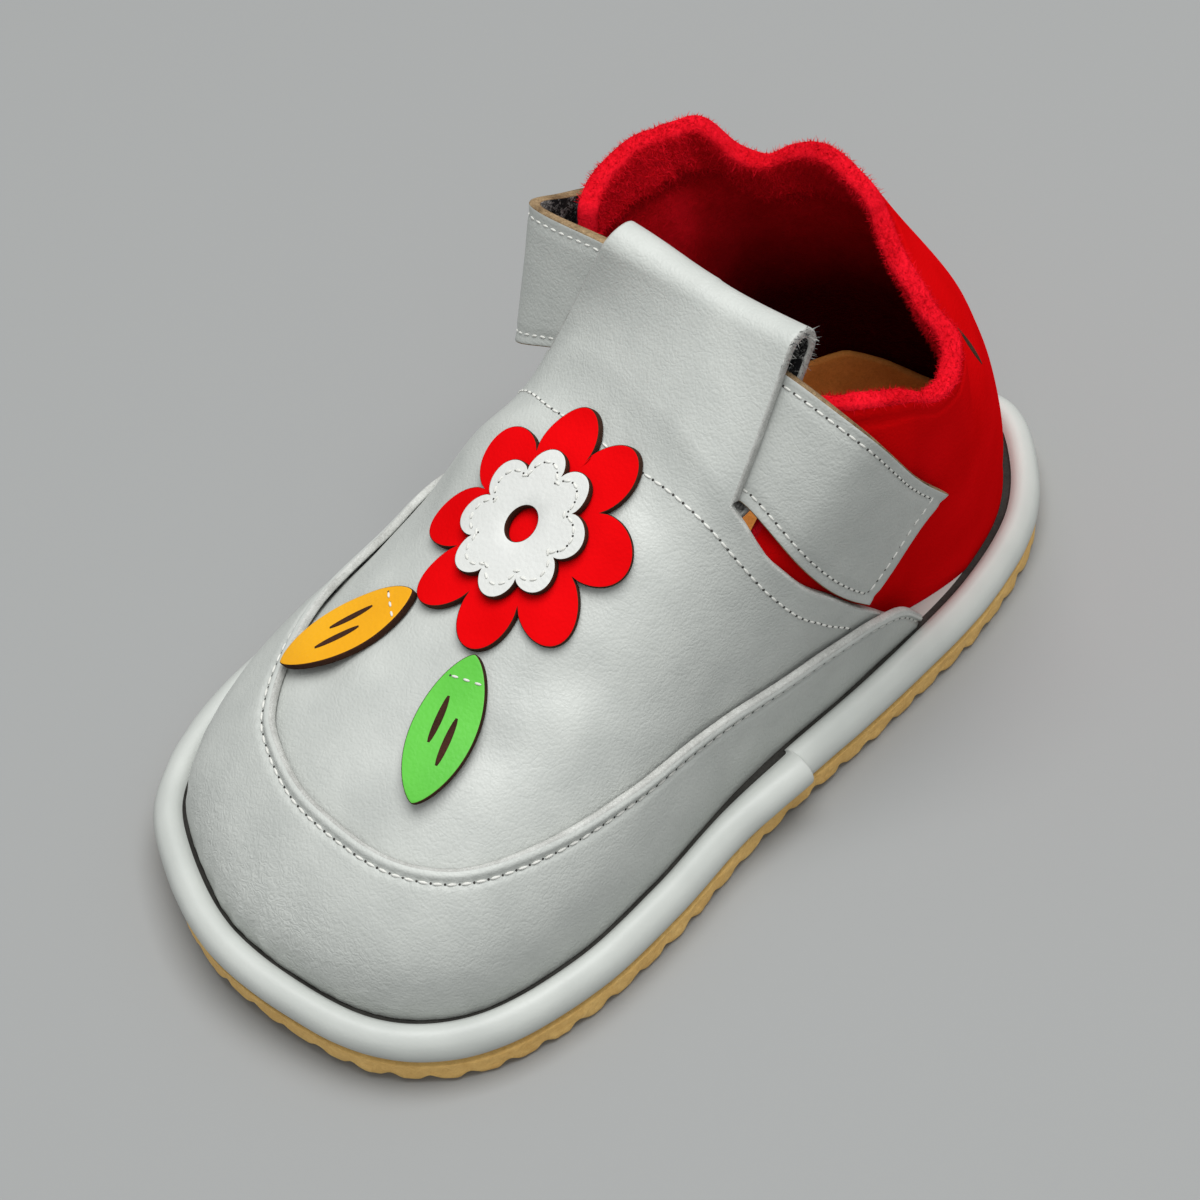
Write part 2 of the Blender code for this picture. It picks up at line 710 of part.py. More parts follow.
def make_upper_heel():
    sheet = Sheet()
    rows = []
    for i in range(QUARTER_ROWS + 1):
        up = i / QUARTER_ROWS
        gather = eased((up - GATHER_FROM) / (1 - GATHER_FROM))
        wall_thickness = HEM_WALL if up > HEM_FROM else QUARTER_WALL
        row = []
        for k in range(QUARTER_COLUMNS + 1):
            way = k / QUARTER_COLUMNS
            height = FEATHER_Z + up * (along(COLLAR, way) - FEATHER_Z)
            lateral = share_at(-1, along(QUARTER_FRONT, height, 1))
            medial = share_at(1, along(QUARTER_FRONT, height, 2))
            share = lateral + way * (medial - lateral)
            depth = straight(QUARTER_DEPTH, feather(share)[1]) + gather * along(COLLAR, way, 2)
            level = level_at(share, height) if i else 0.0
            row.append(sheet.add_skin(share, level, depth, wall_thickness))
        rows.append(row)
    for first, second in zip(rows, rows[1:]):
        sheet.join(first, second)
    thick_piece("upper_heel", sheet.outside, sheet.inside, sheet.faces, RED_LEATHER)


def strap_stations(side, rows, sink):
    # Stations of the strap along one wall of the shoe, each a row of points from its lower to its upper edge
    stations = []
    for middle, height, half, lean, *depth in spline(rows, STRAP_STEPS):
        tilt = math.radians(lean)
        station = []
        for share in np.linspace(-1, 1, STRAP_ACROSS + 1):
            reach = share * half
            y = middle + reach * math.sin(tilt)
            outer = depth[0] if depth else straight(QUARTER_DEPTH, y) - GAP - STRAP_WALL
            station.append(wall(side, y, height + reach * math.cos(tilt), outer + sink))
        stations.append(station)
    return stations


def tunnel_stations(frames, sink):
    stations = []
    for k, (_, fold, up, out) in enumerate(frames):
        drop = STRAP_DROP[0] + (STRAP_DROP[1] - STRAP_DROP[0]) * k / (len(frames) - 1)
        under = fold - (VAMP_WALL + STRAP_SLACK + sink) * out
        drops = np.linspace(STRAP_SLACK + STRAP_WIDTH, drop, STRAP_ACROSS + 1)
        stations.append([under - down * up for down in drops])
    return stations[::-1]


def bend_station(sink):
    low, high, inward = (np.array(vector) for vector in (BEND_LOW, BEND_HIGH, BEND_INWARD))
    return [low + share * (high - low) + sink * inward for share in np.linspace(0, 1, STRAP_ACROSS + 1)]


def bridged(first, second, *between):
    # Both runs of stations, with a smooth span between them
    span = spline([first[-2], first[-1], *between, second[0], second[1]], STRAP_BRIDGE)
    return [*first, *span[STRAP_BRIDGE + 1 : -STRAP_BRIDGE - 1], *second]


def make_strap(frames):
    skins = []
    for sink in (0.0, STRAP_WALL):
        medial = strap_stations(1, STRAP_MEDIAL, sink)
        lateral = strap_stations(-1, STRAP_LATERAL, sink)
        front = bridged(medial, tunnel_stations(frames, sink))
        stations = bridged(front, lateral, bend_station(sink))
        skins.append([point for station in stations for point in station])
    rows = len(skins[0]) // (STRAP_ACROSS + 1)
    thick_piece("strap", *skins, grid_faces(rows, STRAP_ACROSS + 1), GREY_LEATHER)


def make_closure_tape():
    rows = [(y, z, TAPE_SHARE * half, lean, depth) for y, z, half, lean, depth in STRAP_LATERAL]
    skins = []
    for sink in (STRAP_WALL + GAP, STRAP_WALL + GAP + TAPE_WALL):
        stations = strap_stations(-1, rows, sink)[TAPE_ENDS[0] : TAPE_ENDS[1]]
        skins.append([point for station in stations for point in station])
    rows = TAPE_ENDS[1] - TAPE_ENDS[0]
    thick_piece("closure_tape", *skins, grid_faces(rows, STRAP_ACROSS + 1), DARK_TAPE)


def make_cut(name, layer, rings, look):
    # A piece cut from sheet leather and laid on the vamp: rings of plan points, from its edge inwards
    lowest = VAMP_DEPTH - GAP - layer * (CUT_WALL + GAP)
    spots = [spot_on_vamp(x, y) for ring in rings for x, y in ring]
    outside = [skin(share, level, lowest - CUT_WALL) for share, level in spots]
    inside = [skin(share, level, lowest) for share, level in spots]
    count = max(len(ring) for ring in rings)
    full = [ring for ring in rings if len(ring) == count]
    faces = grid_faces(len(full), count, closed=True)
    if len(full) < len(rings):
        last_ring = count * (len(full) - 1)
        middle = count * len(full)
        faces += [(last_ring + k, last_ring + (k + 1) % count, middle) for k in range(count)]
    thick_piece(name, outside, inside, faces, look)


def petal_ring(reach, scale, hole=0.0):
    ring = []
    for turn in np.arange(FLOWER_SPOKES) * 2 * math.pi / FLOWER_SPOKES:
        swell = abs(math.sin(PETALS * turn / 2)) ** PETAL_ROUNDNESS
        radius = hole + scale * (reach[0] + (reach[1] - reach[0]) * swell - hole)
        ring.append((FLOWER_AT[0] + radius * math.cos(turn), FLOWER_AT[1] + radius * math.sin(turn)))
    return ring


def leaf_ring(degrees, scale):
    heading = math.radians(degrees)
    away = PETAL_REACH[1] + LEAF_GAP + 0.5 * LEAF_LENGTH
    ring = []
    for turn in np.arange(LEAF_SPOKES) * 2 * math.pi / LEAF_SPOKES:
        ahead = away + 0.5 * LEAF_LENGTH * scale * math.cos(turn)
        aside = 0.5 * LEAF_WIDTH * scale * math.sin(turn) * abs(math.sin(turn)) ** LEAF_POINT
        x = FLOWER_AT[0] + ahead * math.cos(heading) - aside * math.sin(heading)
        y = FLOWER_AT[1] + ahead * math.sin(heading) + aside * math.cos(heading)
        ring.append((x, y))
    return ring


def make_applique():
    petals = [petal_ring(PETAL_REACH, scale) for scale in (1.0, INNER_RING)]
    make_cut("flower_petals", 0, [*petals, [FLOWER_AT]], RED_LEATHER)
    disc = [petal_ring(DISC_REACH, scale, DISC_HOLE) for scale in (1.0, 0.0)]
    make_cut("flower_disc", 1, disc, WHITE_LEATHER)
    for name, degrees, look in (
        ("leaf_yellow", LEAF_YELLOW, YELLOW_LEATHER),
        ("leaf_green", LEAF_GREEN, GREEN_LEATHER),
    ):
        leaf = [leaf_ring(degrees, scale) for scale in (1.0, INNER_RING)]
        make_cut(name, 0, [*leaf, leaf_ring(degrees, 0.0)[:1]], look)


def main():
    for old in list(bpy.data.objects):
        bpy.data.objects.remove(old, do_unlink=True)
    shoe = bpy.data.objects.new("shoe", None)
    bpy.context.scene.collection.objects.link(shoe)
    low, high = RING.min(axis=0), RING.max(axis=0)
    shoe.location = (*(-0.5 * MM * (low + high)), 0.0)
    make_outsole()
    make_wrapped_midsole()
    make_insole()
    frames = make_upper_vamp()
    make_toe_panel()
    make_upper_heel()
    make_strap(frames)
    make_closure_tape()
    make_applique()


main()
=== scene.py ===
# Toddler's barefoot shoe for the right foot: leather, stitches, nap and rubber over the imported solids
import math

import bmesh
import bpy
import numpy as np
from mathutils import Matrix, Vector, noise


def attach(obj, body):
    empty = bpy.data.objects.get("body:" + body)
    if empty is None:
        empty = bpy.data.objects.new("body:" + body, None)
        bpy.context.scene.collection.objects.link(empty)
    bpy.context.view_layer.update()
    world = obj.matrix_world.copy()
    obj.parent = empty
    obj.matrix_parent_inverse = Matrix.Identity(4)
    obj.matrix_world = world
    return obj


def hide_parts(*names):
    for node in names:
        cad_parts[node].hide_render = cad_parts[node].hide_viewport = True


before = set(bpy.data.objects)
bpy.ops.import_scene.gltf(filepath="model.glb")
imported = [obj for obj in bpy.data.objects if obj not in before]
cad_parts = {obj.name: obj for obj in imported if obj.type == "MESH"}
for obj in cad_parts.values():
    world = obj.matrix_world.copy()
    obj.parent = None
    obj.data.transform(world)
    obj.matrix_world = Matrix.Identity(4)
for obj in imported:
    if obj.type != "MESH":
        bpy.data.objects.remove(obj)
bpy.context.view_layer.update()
print("frame loaded,", len(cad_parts), "nodes")

mm = 0.001
gap = 0.3  # between pieces that touch, in millimetres like all sizes below

# The last and the sole. Toe towards -y, inner side of the foot +x, floor at z = 0
lastShape = {
    "sole": (  # y, lateral x, medial x
        (-71.0, -15.5, 22.5),
        (-64.0, -25.5, 34.0),
        (-52.0, -33.0, 40.8),
        (-36.0, -36.8, 42.0),
        (-20.0, -36.2, 39.2),
        (-4.0, -34.5, 34.8),
        (14.0, -32.5, 31.6),
        (32.0, -30.5, 28.4),
        (48.0, -27.5, 24.6),
        (62.0, -21.5, 18.0),
        (71.0, -11.5, 8.5),
    ),
    "toeTip": (4.0, -75.0),
    "heelTip": (-1.5, 75.0),
    "ringSteps": 24,
    "forefootFlat": (-52.0, -12.0),
    "heelFlat": (24.0, 65.0),
    "toeSpring": 3.0,
    "heelSpring": 0.8,
    "archLift": 0.8,
    "featherInset": 5.0,  # where the upper meets the sole
    "featherZ": 8.4,
    "toeFocus": -36.0,
    "heelFocus": 44.0,
    "spine": (  # y, ridge x, crown height, lateral and medial power, outward flare
        (-75.0, 3.0, 24.0, 2.2, 2.3, 0.0),
        (-60.0, 3.0, 29.5, 2.1, 2.3, 0.0),
        (-38.0, 2.8, 38.0, 1.95, 2.3, 0.0),
        (-20.0, 2.6, 46.5, 2.15, 2.4, 0.0),
        (-8.0, 2.4, 53.5, 2.85, 2.6, 0.0),
        (3.0, 2.0, 60.5, 3.0, 2.9, 0.0),
        (12.0, 1.2, 75.0, 2.95, 3.0, 0.06),
        (20.0, 0.5, 98.0, 3.0, 3.0, 0.11),
        (32.0, -0.4, 112.0, 3.0, 3.0, 0.14),
        (46.0, -1.2, 118.0, 3.0, 3.0, 0.14),
        (60.0, -1.5, 118.0, 3.0, 3.0, 0.07),
        (75.0, -1.5, 118.0, 3.0, 3.0, 0.0),
    ),
    "heelLean": ((0.0, 0.0), (16.0, 2.0), (30.0, 6.0), (46.0, 12.5), (66.0, 21.0)),  # height, forward shift
    "leanFrom": 24.0,
    "leanFull": 66.0,
    "halvings": 22,  # to find a level from its height
}


def splineThrough(points, steps, closed=False):
    rows = np.array(points, float)
    count = len(rows)
    curve = []
    for i in range(count if closed else count - 1):
        places = range(i - 1, i + 3)
        if closed:
            a, b, c, d = (rows[k % count] for k in places)
        else:
            a, b, c, d = (rows[min(max(k, 0), count - 1)] for k in places)
        for u in np.arange(steps) / steps:
            square = 2 * a - 5 * b + 4 * c - d
            curve.append(b + 0.5 * u * (c - a + u * (square + u * (3 * (b - c) + d - a))))
    if not closed:
        curve.append(rows[-1])
    return np.array(curve)


def tableAt(table, at, column=1):
    # smooth value of a column where the first column reads at
    rows = np.array(table, float)
    knots, values = rows[:, 0], rows[:, column]
    slopes = np.gradient(values, knots)
    at = np.asarray(at, float)
    i = np.clip(np.searchsorted(knots, at) - 1, 0, len(knots) - 2)
    width = knots[i + 1] - knots[i]
    u = np.clip((at - knots[i]) / width, 0, 1)
    rise = values[i + 1] - values[i]
    bend = (1 - u) * slopes[i] - u * slopes[i + 1]
    return values[i] + u * rise + u * (1 - u) * (width * bend - rise * (1 - 2 * u))


def straightAt(table, at, column=1):
    rows = np.array(table, float)
    return np.interp(at, rows[:, 0], rows[:, column])


def eased(share):
    share = np.clip(share, 0, 1)
    return share * share * (3 - 2 * share)


def unit(vectors):
    return vectors / np.maximum(np.linalg.norm(vectors, axis=-1, keepdims=True), 1e-9)


def walkedAlong(line):
    return np.concatenate([[0], np.linalg.norm(np.diff(line, axis=0), axis=1).cumsum()])


def soleRing():
    medial = [(x, y) for y, _, x in lastShape["sole"]]
    lateral = [(x, y) for y, x, _ in reversed(lastShape["sole"])]
    corners = [lastShape["toeTip"], *medial, lastShape["heelTip"], *lateral]
    return splineThrough(corners, lastShape["ringSteps"], closed=True)


def sharesRound(ring):
    # 0 at the toe tip, 1 at the heel tip by the inner side, on to 2 by the outer side
    heel = lastShape["ringSteps"] * (len(lastShape["sole"]) + 1)
    run = np.linalg.norm(np.roll(ring, -1, axis=0) - ring, axis=1)
    walked = np.concatenate([[0.0], np.cumsum(run)])[: len(ring)]
    medial = walked / walked[heel]
    lateral = 1 + (walked - walked[heel]) / (run.sum() - walked[heel])
    return np.where(np.arange(len(ring)) < heel, medial, lateral)


ring = soleRing()
ringShares = sharesRound(ring)
ringAhead = unit(np.roll(ring, -1, axis=0) - np.roll(ring, 1, axis=0))
ringInward = np.stack([-ringAhead[:, 1], ringAhead[:, 0]], axis=1)
feather = ring + lastShape["featherInset"] * ringInward
shoeShift = np.array([*(-0.5 * (ring.min(axis=0) + ring.max(axis=0))), 0.0])
soleWidth = float(np.ptp(ring[:, 0]))


def edgeAt(share, inset):
    share = np.asarray(share, float) % 2
    x, y, inX, inY = (np.interp(share, ringShares, c, period=2) for c in (*ring.T, *ringInward.T))
    return np.stack([x + inset * inX, y + inset * inY], axis=-1)


def shareAt(side, y):
    # where the feather line passes y: side is +1 inner, -1 outer
    onSide = ringShares <= 1 if side > 0 else ringShares >= 1
    order = np.argsort(feather[onSide][:, 1])
    return np.interp(y, feather[onSide][order][:, 1], ringShares[onSide][order])


def liftAt(y):
    toe, waist = lastShape["forefootFlat"]
    arch, heel = lastShape["heelFlat"]
    front = np.clip((toe - y) / (toe - lastShape["toeTip"][1]), 0, 1)
    back = np.clip((y - heel) / (lastShape["heelTip"][1] - heel), 0, 1)
    middle = np.clip((y - waist) / (arch - waist), 0, 1)
    rise = lastShape["toeSpring"] * front**2 + lastShape["heelSpring"] * back**2
    return rise + lastShape["archLift"] * np.sin(math.pi * middle) ** 2


def focusOf(y):
    focusY = np.clip(y, lastShape["toeFocus"], lastShape["heelFocus"])
    return np.stack([tableAt(lastShape["spine"], focusY, 1), focusY], axis=-1)


def powerTowards(focus, outward):
    lateral = tableAt(lastShape["spine"], focus[..., 1], 3)
    medial = tableAt(lastShape["spine"], focus[..., 1], 4)
    return lateral + 0.5 * (1 + outward[..., 0]) * (medial - lateral)


def lastAt(share, level):
    # point on the last: level is 0 at the feather line and 1 at the ridge
    share, level = np.broadcast_arrays(np.asarray(share, float), np.asarray(level, float))
    foot = edgeAt(share, lastShape["featherInset"])
    focus = focusOf(foot[..., 1])
    outward = unit(foot - focus)
    bend = 2 / powerTowards(focus, outward)
    angle = 0.5 * math.pi * np.clip(level, 0, 1)
    plan = focus + (foot - focus) * (np.maximum(np.cos(angle), 0) ** bend)[..., None]
    height = np.sin(angle) ** bend
    rise = (tableAt(lastShape["spine"], plan[..., 1], 2) - lastShape["featherZ"]) * height
    plan = plan + outward * (tableAt(lastShape["spine"], foot[..., 1], 5) * rise)[..., None]
    leaning = eased((foot[..., 1] - lastShape["leanFrom"]) / (lastShape["leanFull"] - lastShape["leanFrom"]))
    lean = tableAt(lastShape["heelLean"], rise) * leaning
    z = lastShape["featherZ"] + liftAt(foot[..., 1]) * (1 - height) + rise
    return np.stack([plan[..., 0], plan[..., 1] - lean, z], axis=-1)


def outwardAt(share, level):
    step = 0.004
    level = np.clip(level, 0, 1 - 2 * step)
    roundIt = lastAt(share + step, level) - lastAt(share - step, level)
    upIt = lastAt(share, level + step) - lastAt(share, np.maximum(level - step, 0))
    return unit(np.cross(roundIt, upIt))


def skinAt(share, level, depth):
    share, level, depth = np.broadcast_arrays(*(np.asarray(v, float) for v in (share, level, depth)))
    return lastAt(share, level) - depth[..., None] * outwardAt(share, level)


def levelAt(share, height):
    share, height = np.broadcast_arrays(np.asarray(share, float), np.asarray(height, float))
    low, high = np.zeros(share.shape), np.ones(share.shape)
    for _ in range(lastShape["halvings"]):
        middle = 0.5 * (low + high)
        under = lastAt(share, middle)[..., 2] < height
        low, high = np.where(under, middle, low), np.where(under, high, middle)
    return low


def wallAt(side, y, height, depth):
    share = shareAt(side, y)
    return skinAt(share, levelAt(share, height), depth)


def spotOnVamp(x, y):
    # share and level on the last over points of the plan, in front of the throat
    focus = focusOf(y)
    share = np.where(x > focus[..., 0], shareAt(1, y), shareAt(-1, y))
    tries = np.arange(-100, 101) / 200
    toe = focusOf(np.array(lastShape["toeFocus"]))
    spokes = edgeAt(tries, lastShape["featherInset"]) - toe
    turns = np.arctan2(spokes[:, 0], -spokes[:, 1])
    inFan = np.interp(np.arctan2(x - toe[0], toe[1] - y), turns, tries) % 2
    share = np.where(y < lastShape["toeFocus"], inFan, share)
    spoke = edgeAt(share, lastShape["featherInset"]) - focus
    full = np.linalg.norm(spoke, axis=-1)
    reach = np.linalg.norm(np.stack([x, y], axis=-1) - focus, axis=-1) / full
    power = powerTowards(focus, spoke / full[..., None])
    return share, np.arccos(np.minimum(reach ** (power / 2), 1)) / (0.5 * math.pi)


def rough(points, size, amount):
    # smooth random heights, the same on every run
    return amount * np.array([noise.noise(Vector(p / size)) for p in np.asarray(points).reshape(-1, 3)])


class Sheet:
    # two skins of a leather piece, and the faces that both share
    def __init__(self):
        self.outer = []
        self.inner = []
        self.faces = []

    def addRow(self, outer, inner):
        start = len(self.outer)
        self.outer.extend(outer)
        self.inner.extend(inner)
        return list(range(start, start + len(outer)))

    def join(self, first, second):
        for k in range(min(len(first), len(second)) - 1):
            corners = (first[k], first[k + 1], second[k + 1], second[k])
            self.faces.append(tuple(dict.fromkeys(corners)))

    def addGrid(self, outer, inner):
        rows = [self.addRow(a, b) for a, b in zip(outer, inner)]
        for first, second in zip(rows, rows[1:]):
            self.join(first, second)
        return rows

    def skins(self, shape):
        return np.array(self.outer).reshape(shape), np.array(self.inner).reshape(shape)

    def push(self, heights):
        # move both skins along the way out
        outer, inner = np.array(self.outer), np.array(self.inner)
        move = unit(outer - inner) * np.asarray(heights)[:, None]
        self.outer, self.inner = list(outer + move), list(inner + move)


rimPower = 0.6  # squares the rounded edge of leather a little


def closeSheet(sheet, bulge, rimSteps=5):
    # points, faces and material index (0 outside, 1 inside, 2 cut edge) with a rounded edge
    outer, inner = np.array(sheet.outer), np.array(sheet.inner)
    count = len(outer)
    uses = {}
    for f, face in enumerate(sheet.faces):
        for a, b in zip(face, face[1:] + face[:1]):
            uses.setdefault((min(a, b), max(a, b)), []).append((a, b, f))
    rims = [pairs[0] for pairs in uses.values() if len(pairs) == 1]
    away = {}
    for a, b, f in rims:
        side = np.cross(outer[b] - outer[a], outer[a] - inner[a] + outer[b] - inner[b])
        middle = outer[list(sheet.faces[f])].mean(axis=0)
        side = unit(side) * (1 if side @ (outer[a] - middle) > 0 else -1)
        for k in (a, b):
            away[k] = away.get(k, 0) + side
    points = [*outer, *inner]
    chains = {}
    for k, side in away.items():
        middle, half = 0.5 * (outer[k] + inner[k]), 0.5 * (outer[k] - inner[k])
        chain = [k]
        for turn in np.arange(1, rimSteps) * math.pi / rimSteps:
            up = math.copysign(abs(math.cos(turn)) ** rimPower, math.cos(turn))
            out = bulge * math.sin(turn) ** rimPower
            chain.append(len(points))
            points.append(middle + up * half + out * unit(side))
        chains[k] = [*chain, k + count]
    faces = [*sheet.faces, *(tuple(count + k for k in reversed(face)) for face in sheet.faces)]
    picks = [0] * len(sheet.faces) + [1] * len(sheet.faces)
    for a, b, _ in rims:
        for i in range(rimSteps):
            faces.append((chains[b][i], chains[a][i], chains[a][i + 1], chains[b][i + 1]))
            picks.append(2)
    return points, faces, picks


def addPiece(name, mesh):
    piece = bpy.data.objects.new(name, mesh)
    bpy.context.scene.collection.objects.link(piece)
    return piece


def fitPiece(piece):
    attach(piece, "root")
    print("made", piece.name, len(piece.data.polygons), "faces")


def makePiece(name, points, faces, looks, picks=None, node=None):
    mesh = bpy.data.meshes.new(name)
    mesh.from_pydata(((np.array(points) + shoeShift) * mm).tolist(), [], faces)
    for look in looks:
        mesh.materials.append(look)
    if picks is not None:
        mesh.polygons.foreach_set("material_index", picks)
    solid = bmesh.new()
    solid.from_mesh(mesh)
    bmesh.ops.recalc_face_normals(solid, faces=solid.faces)
    solid.to_mesh(mesh)
    solid.free()
    mesh.shade_smooth()
    piece = addPiece(name, mesh)
    fitPiece(piece)
    if node:
        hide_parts(node)


def makeSheetPiece(name, sheet, looks, node, bulge=0.3):
    points, faces, picks = closeSheet(sheet, bulge)
    makePiece(name, points, faces, looks, picks, node)


# Shader groups and materials


def newGroup(name, inputs, outputs):
    group = bpy.data.node_groups.new(name, "ShaderNodeTree")
    for label, kind, value in inputs:
        socket = group.interface.new_socket(label, in_out="INPUT", socket_type=kind)
        if value is not None:
            socket.default_value = value
    for label, kind in outputs:
        group.interface.new_socket(label, in_out="OUTPUT", socket_type=kind)
    return group, group.nodes.new("NodeGroupInput"), group.nodes.new("NodeGroupOutput")


def addNode(tree, kind, values, settings=None):
    node = tree.nodes.new(kind)
    for key, value in (settings or {}).items():
        setattr(node, key, value)
    for key, value in values.items():
        if isinstance(value, bpy.types.NodeSocket):
            tree.links.new(value, node.inputs[key])
        else:
            node.inputs[key].default_value = value
    return node


def doMath(tree, operation, first, second=0.0, third=0.0):
    node = tree.nodes.new("ShaderNodeMath")
    node.operation = operation
    for socket, value in zip(node.inputs, (first, second, third)):
        if isinstance(value, bpy.types.NodeSocket):
            tree.links.new(value, socket)
        else:
            socket.default_value = value
    return node.outputs[0]


noiseKind = "ShaderNodeTexNoise"


def troughs(tree, place, scale, distortion, sharpness):
    # thin lines, 1 in the middle and 0 beside them
    lines = {"Vector": place, "Scale": scale, "Detail": 3.0, "Distortion": distortion}
    fromLine = doMath(tree, "SUBTRACT", addNode(tree, noiseKind, lines).outputs[0], 0.5)
    fall = doMath(tree, "MULTIPLY_ADD", doMath(tree, "ABSOLUTE", fromLine), -sharpness, 1.0)
    return doMath(tree, "MAXIMUM", fall, 0.0)


grainShape = {
    "bendScale": 500.0,
    "bend": 0.0006,  # how far the pebbles are pushed about, in metres
    "smoothness": 0.35,
    "poreRoughness": 0.6,
    "poreShare": 0.45,
    "wander": 0.9,
    "sharpness": 14.0,
}


def makeGrainGroup():
    # leather grain: small pebbles, fine pores, thin wrinkles and slow changes of tone
    s = grainShape
    group, given, result = newGroup(
        "leatherGrain",
        (
            ("Place", "NodeSocketVector", None),
            ("Pebbles", "NodeSocketFloat", 1700.0),
            ("Pores", "NodeSocketFloat", 4200.0),
            ("Wrinkles", "NodeSocketFloat", 380.0),
            ("Wrinkling", "NodeSocketFloat", 0.16),
            ("Patches", "NodeSocketFloat", 70.0),
        ),
        (("Height", "NodeSocketFloat"), ("Tone", "NodeSocketFloat")),
    )
    value = given.outputs
    place = value["Place"]
    bend = addNode(group, noiseKind, {"Vector": place, "Scale": s["bendScale"], "Detail": 2.0})
    moved = {"Fac": s["bend"], "Color1": place, "Color2": bend.outputs["Color"]}
    bent = addNode(group, "ShaderNodeMixRGB", moved, {"blend_type": "ADD"})
    cells = {"Vector": bent.outputs[0], "Scale": value["Pebbles"], "Smoothness": s["smoothness"]}
    pebbles = addNode(group, "ShaderNodeTexVoronoi", cells, {"feature": "SMOOTH_F1"})
    fine = {"Vector": place, "Scale": value["Pores"], "Detail": 3.0, "Roughness": s["poreRoughness"]}
    pores = addNode(group, noiseKind, fine)
    patches = addNode(group, noiseKind, {"Vector": place, "Scale": value["Patches"], "Detail": 3.0})
    trough = troughs(group, place, value["Wrinkles"], s["wander"], s["sharpness"])
    raised = doMath(group, "SUBTRACT", 1.0, pebbles.outputs["Distance"])
    grained = doMath(group, "MULTIPLY_ADD", pores.outputs[0], s["poreShare"], raised)
    height = doMath(group, "SUBTRACT", grained, doMath(group, "MULTIPLY", trough, value["Wrinkling"]))
    group.links.new(height, result.inputs["Height"])
    group.links.new(patches.outputs[0], result.inputs["Tone"])
    return group


napShape = {
    "fibreDetail": 5.0,
    "fibreRoughness": 0.75,
    "fibreTangle": 1.2,
    "brushedDetail": 4.0,
    "brushedRoughness": 0.6,
    "brushedShare": 0.45,
    "fibreShare": 0.55,
}


def makeNapGroup():
    # suede: short tangled fibres, brushed patches
    s = napShape
    group, given, result = newGroup(
        "suedeNap",
        (
            ("Place", "NodeSocketVector", None),
            ("Fibres", "NodeSocketFloat", 1800.0),
            ("Brushed", "NodeSocketFloat", 160.0),
        ),
        (("Height", "NodeSocketFloat"), ("Tone", "NodeSocketFloat")),
    )
    place = given.outputs["Place"]
    tangle = {"Vector": place, "Scale": given.outputs["Fibres"], "Detail": s["fibreDetail"]}
    tangle.update({"Roughness": s["fibreRoughness"], "Distortion": s["fibreTangle"]})
    fibres = addNode(group, noiseKind, tangle).outputs[0]
    patches = {"Vector": place, "Scale": given.outputs["Brushed"], "Detail": s["brushedDetail"]}
    patches["Roughness"] = s["brushedRoughness"]
    brushed = addNode(group, noiseKind, patches).outputs[0]
    brushedPart = doMath(group, "MULTIPLY", brushed, s["brushedShare"])
    tone = doMath(group, "MULTIPLY_ADD", fibres, s["fibreShare"], brushedPart)
    group.links.new(fibres, result.inputs["Height"])
    group.links.new(tone, result.inputs["Tone"])
    return group


groups = {"grain": makeGrainGroup(), "nap": makeNapGroup()}


def finish(surface, dark, light, roughness, bump, specular=0.5, **more):
    # colours from dark to light, and bump as its strength and its height in metres
    base = {"surface": surface, "dark": dark, "light": light, "roughness": roughness, "bump": bump}
    return {**base, "specular": specular, **more}


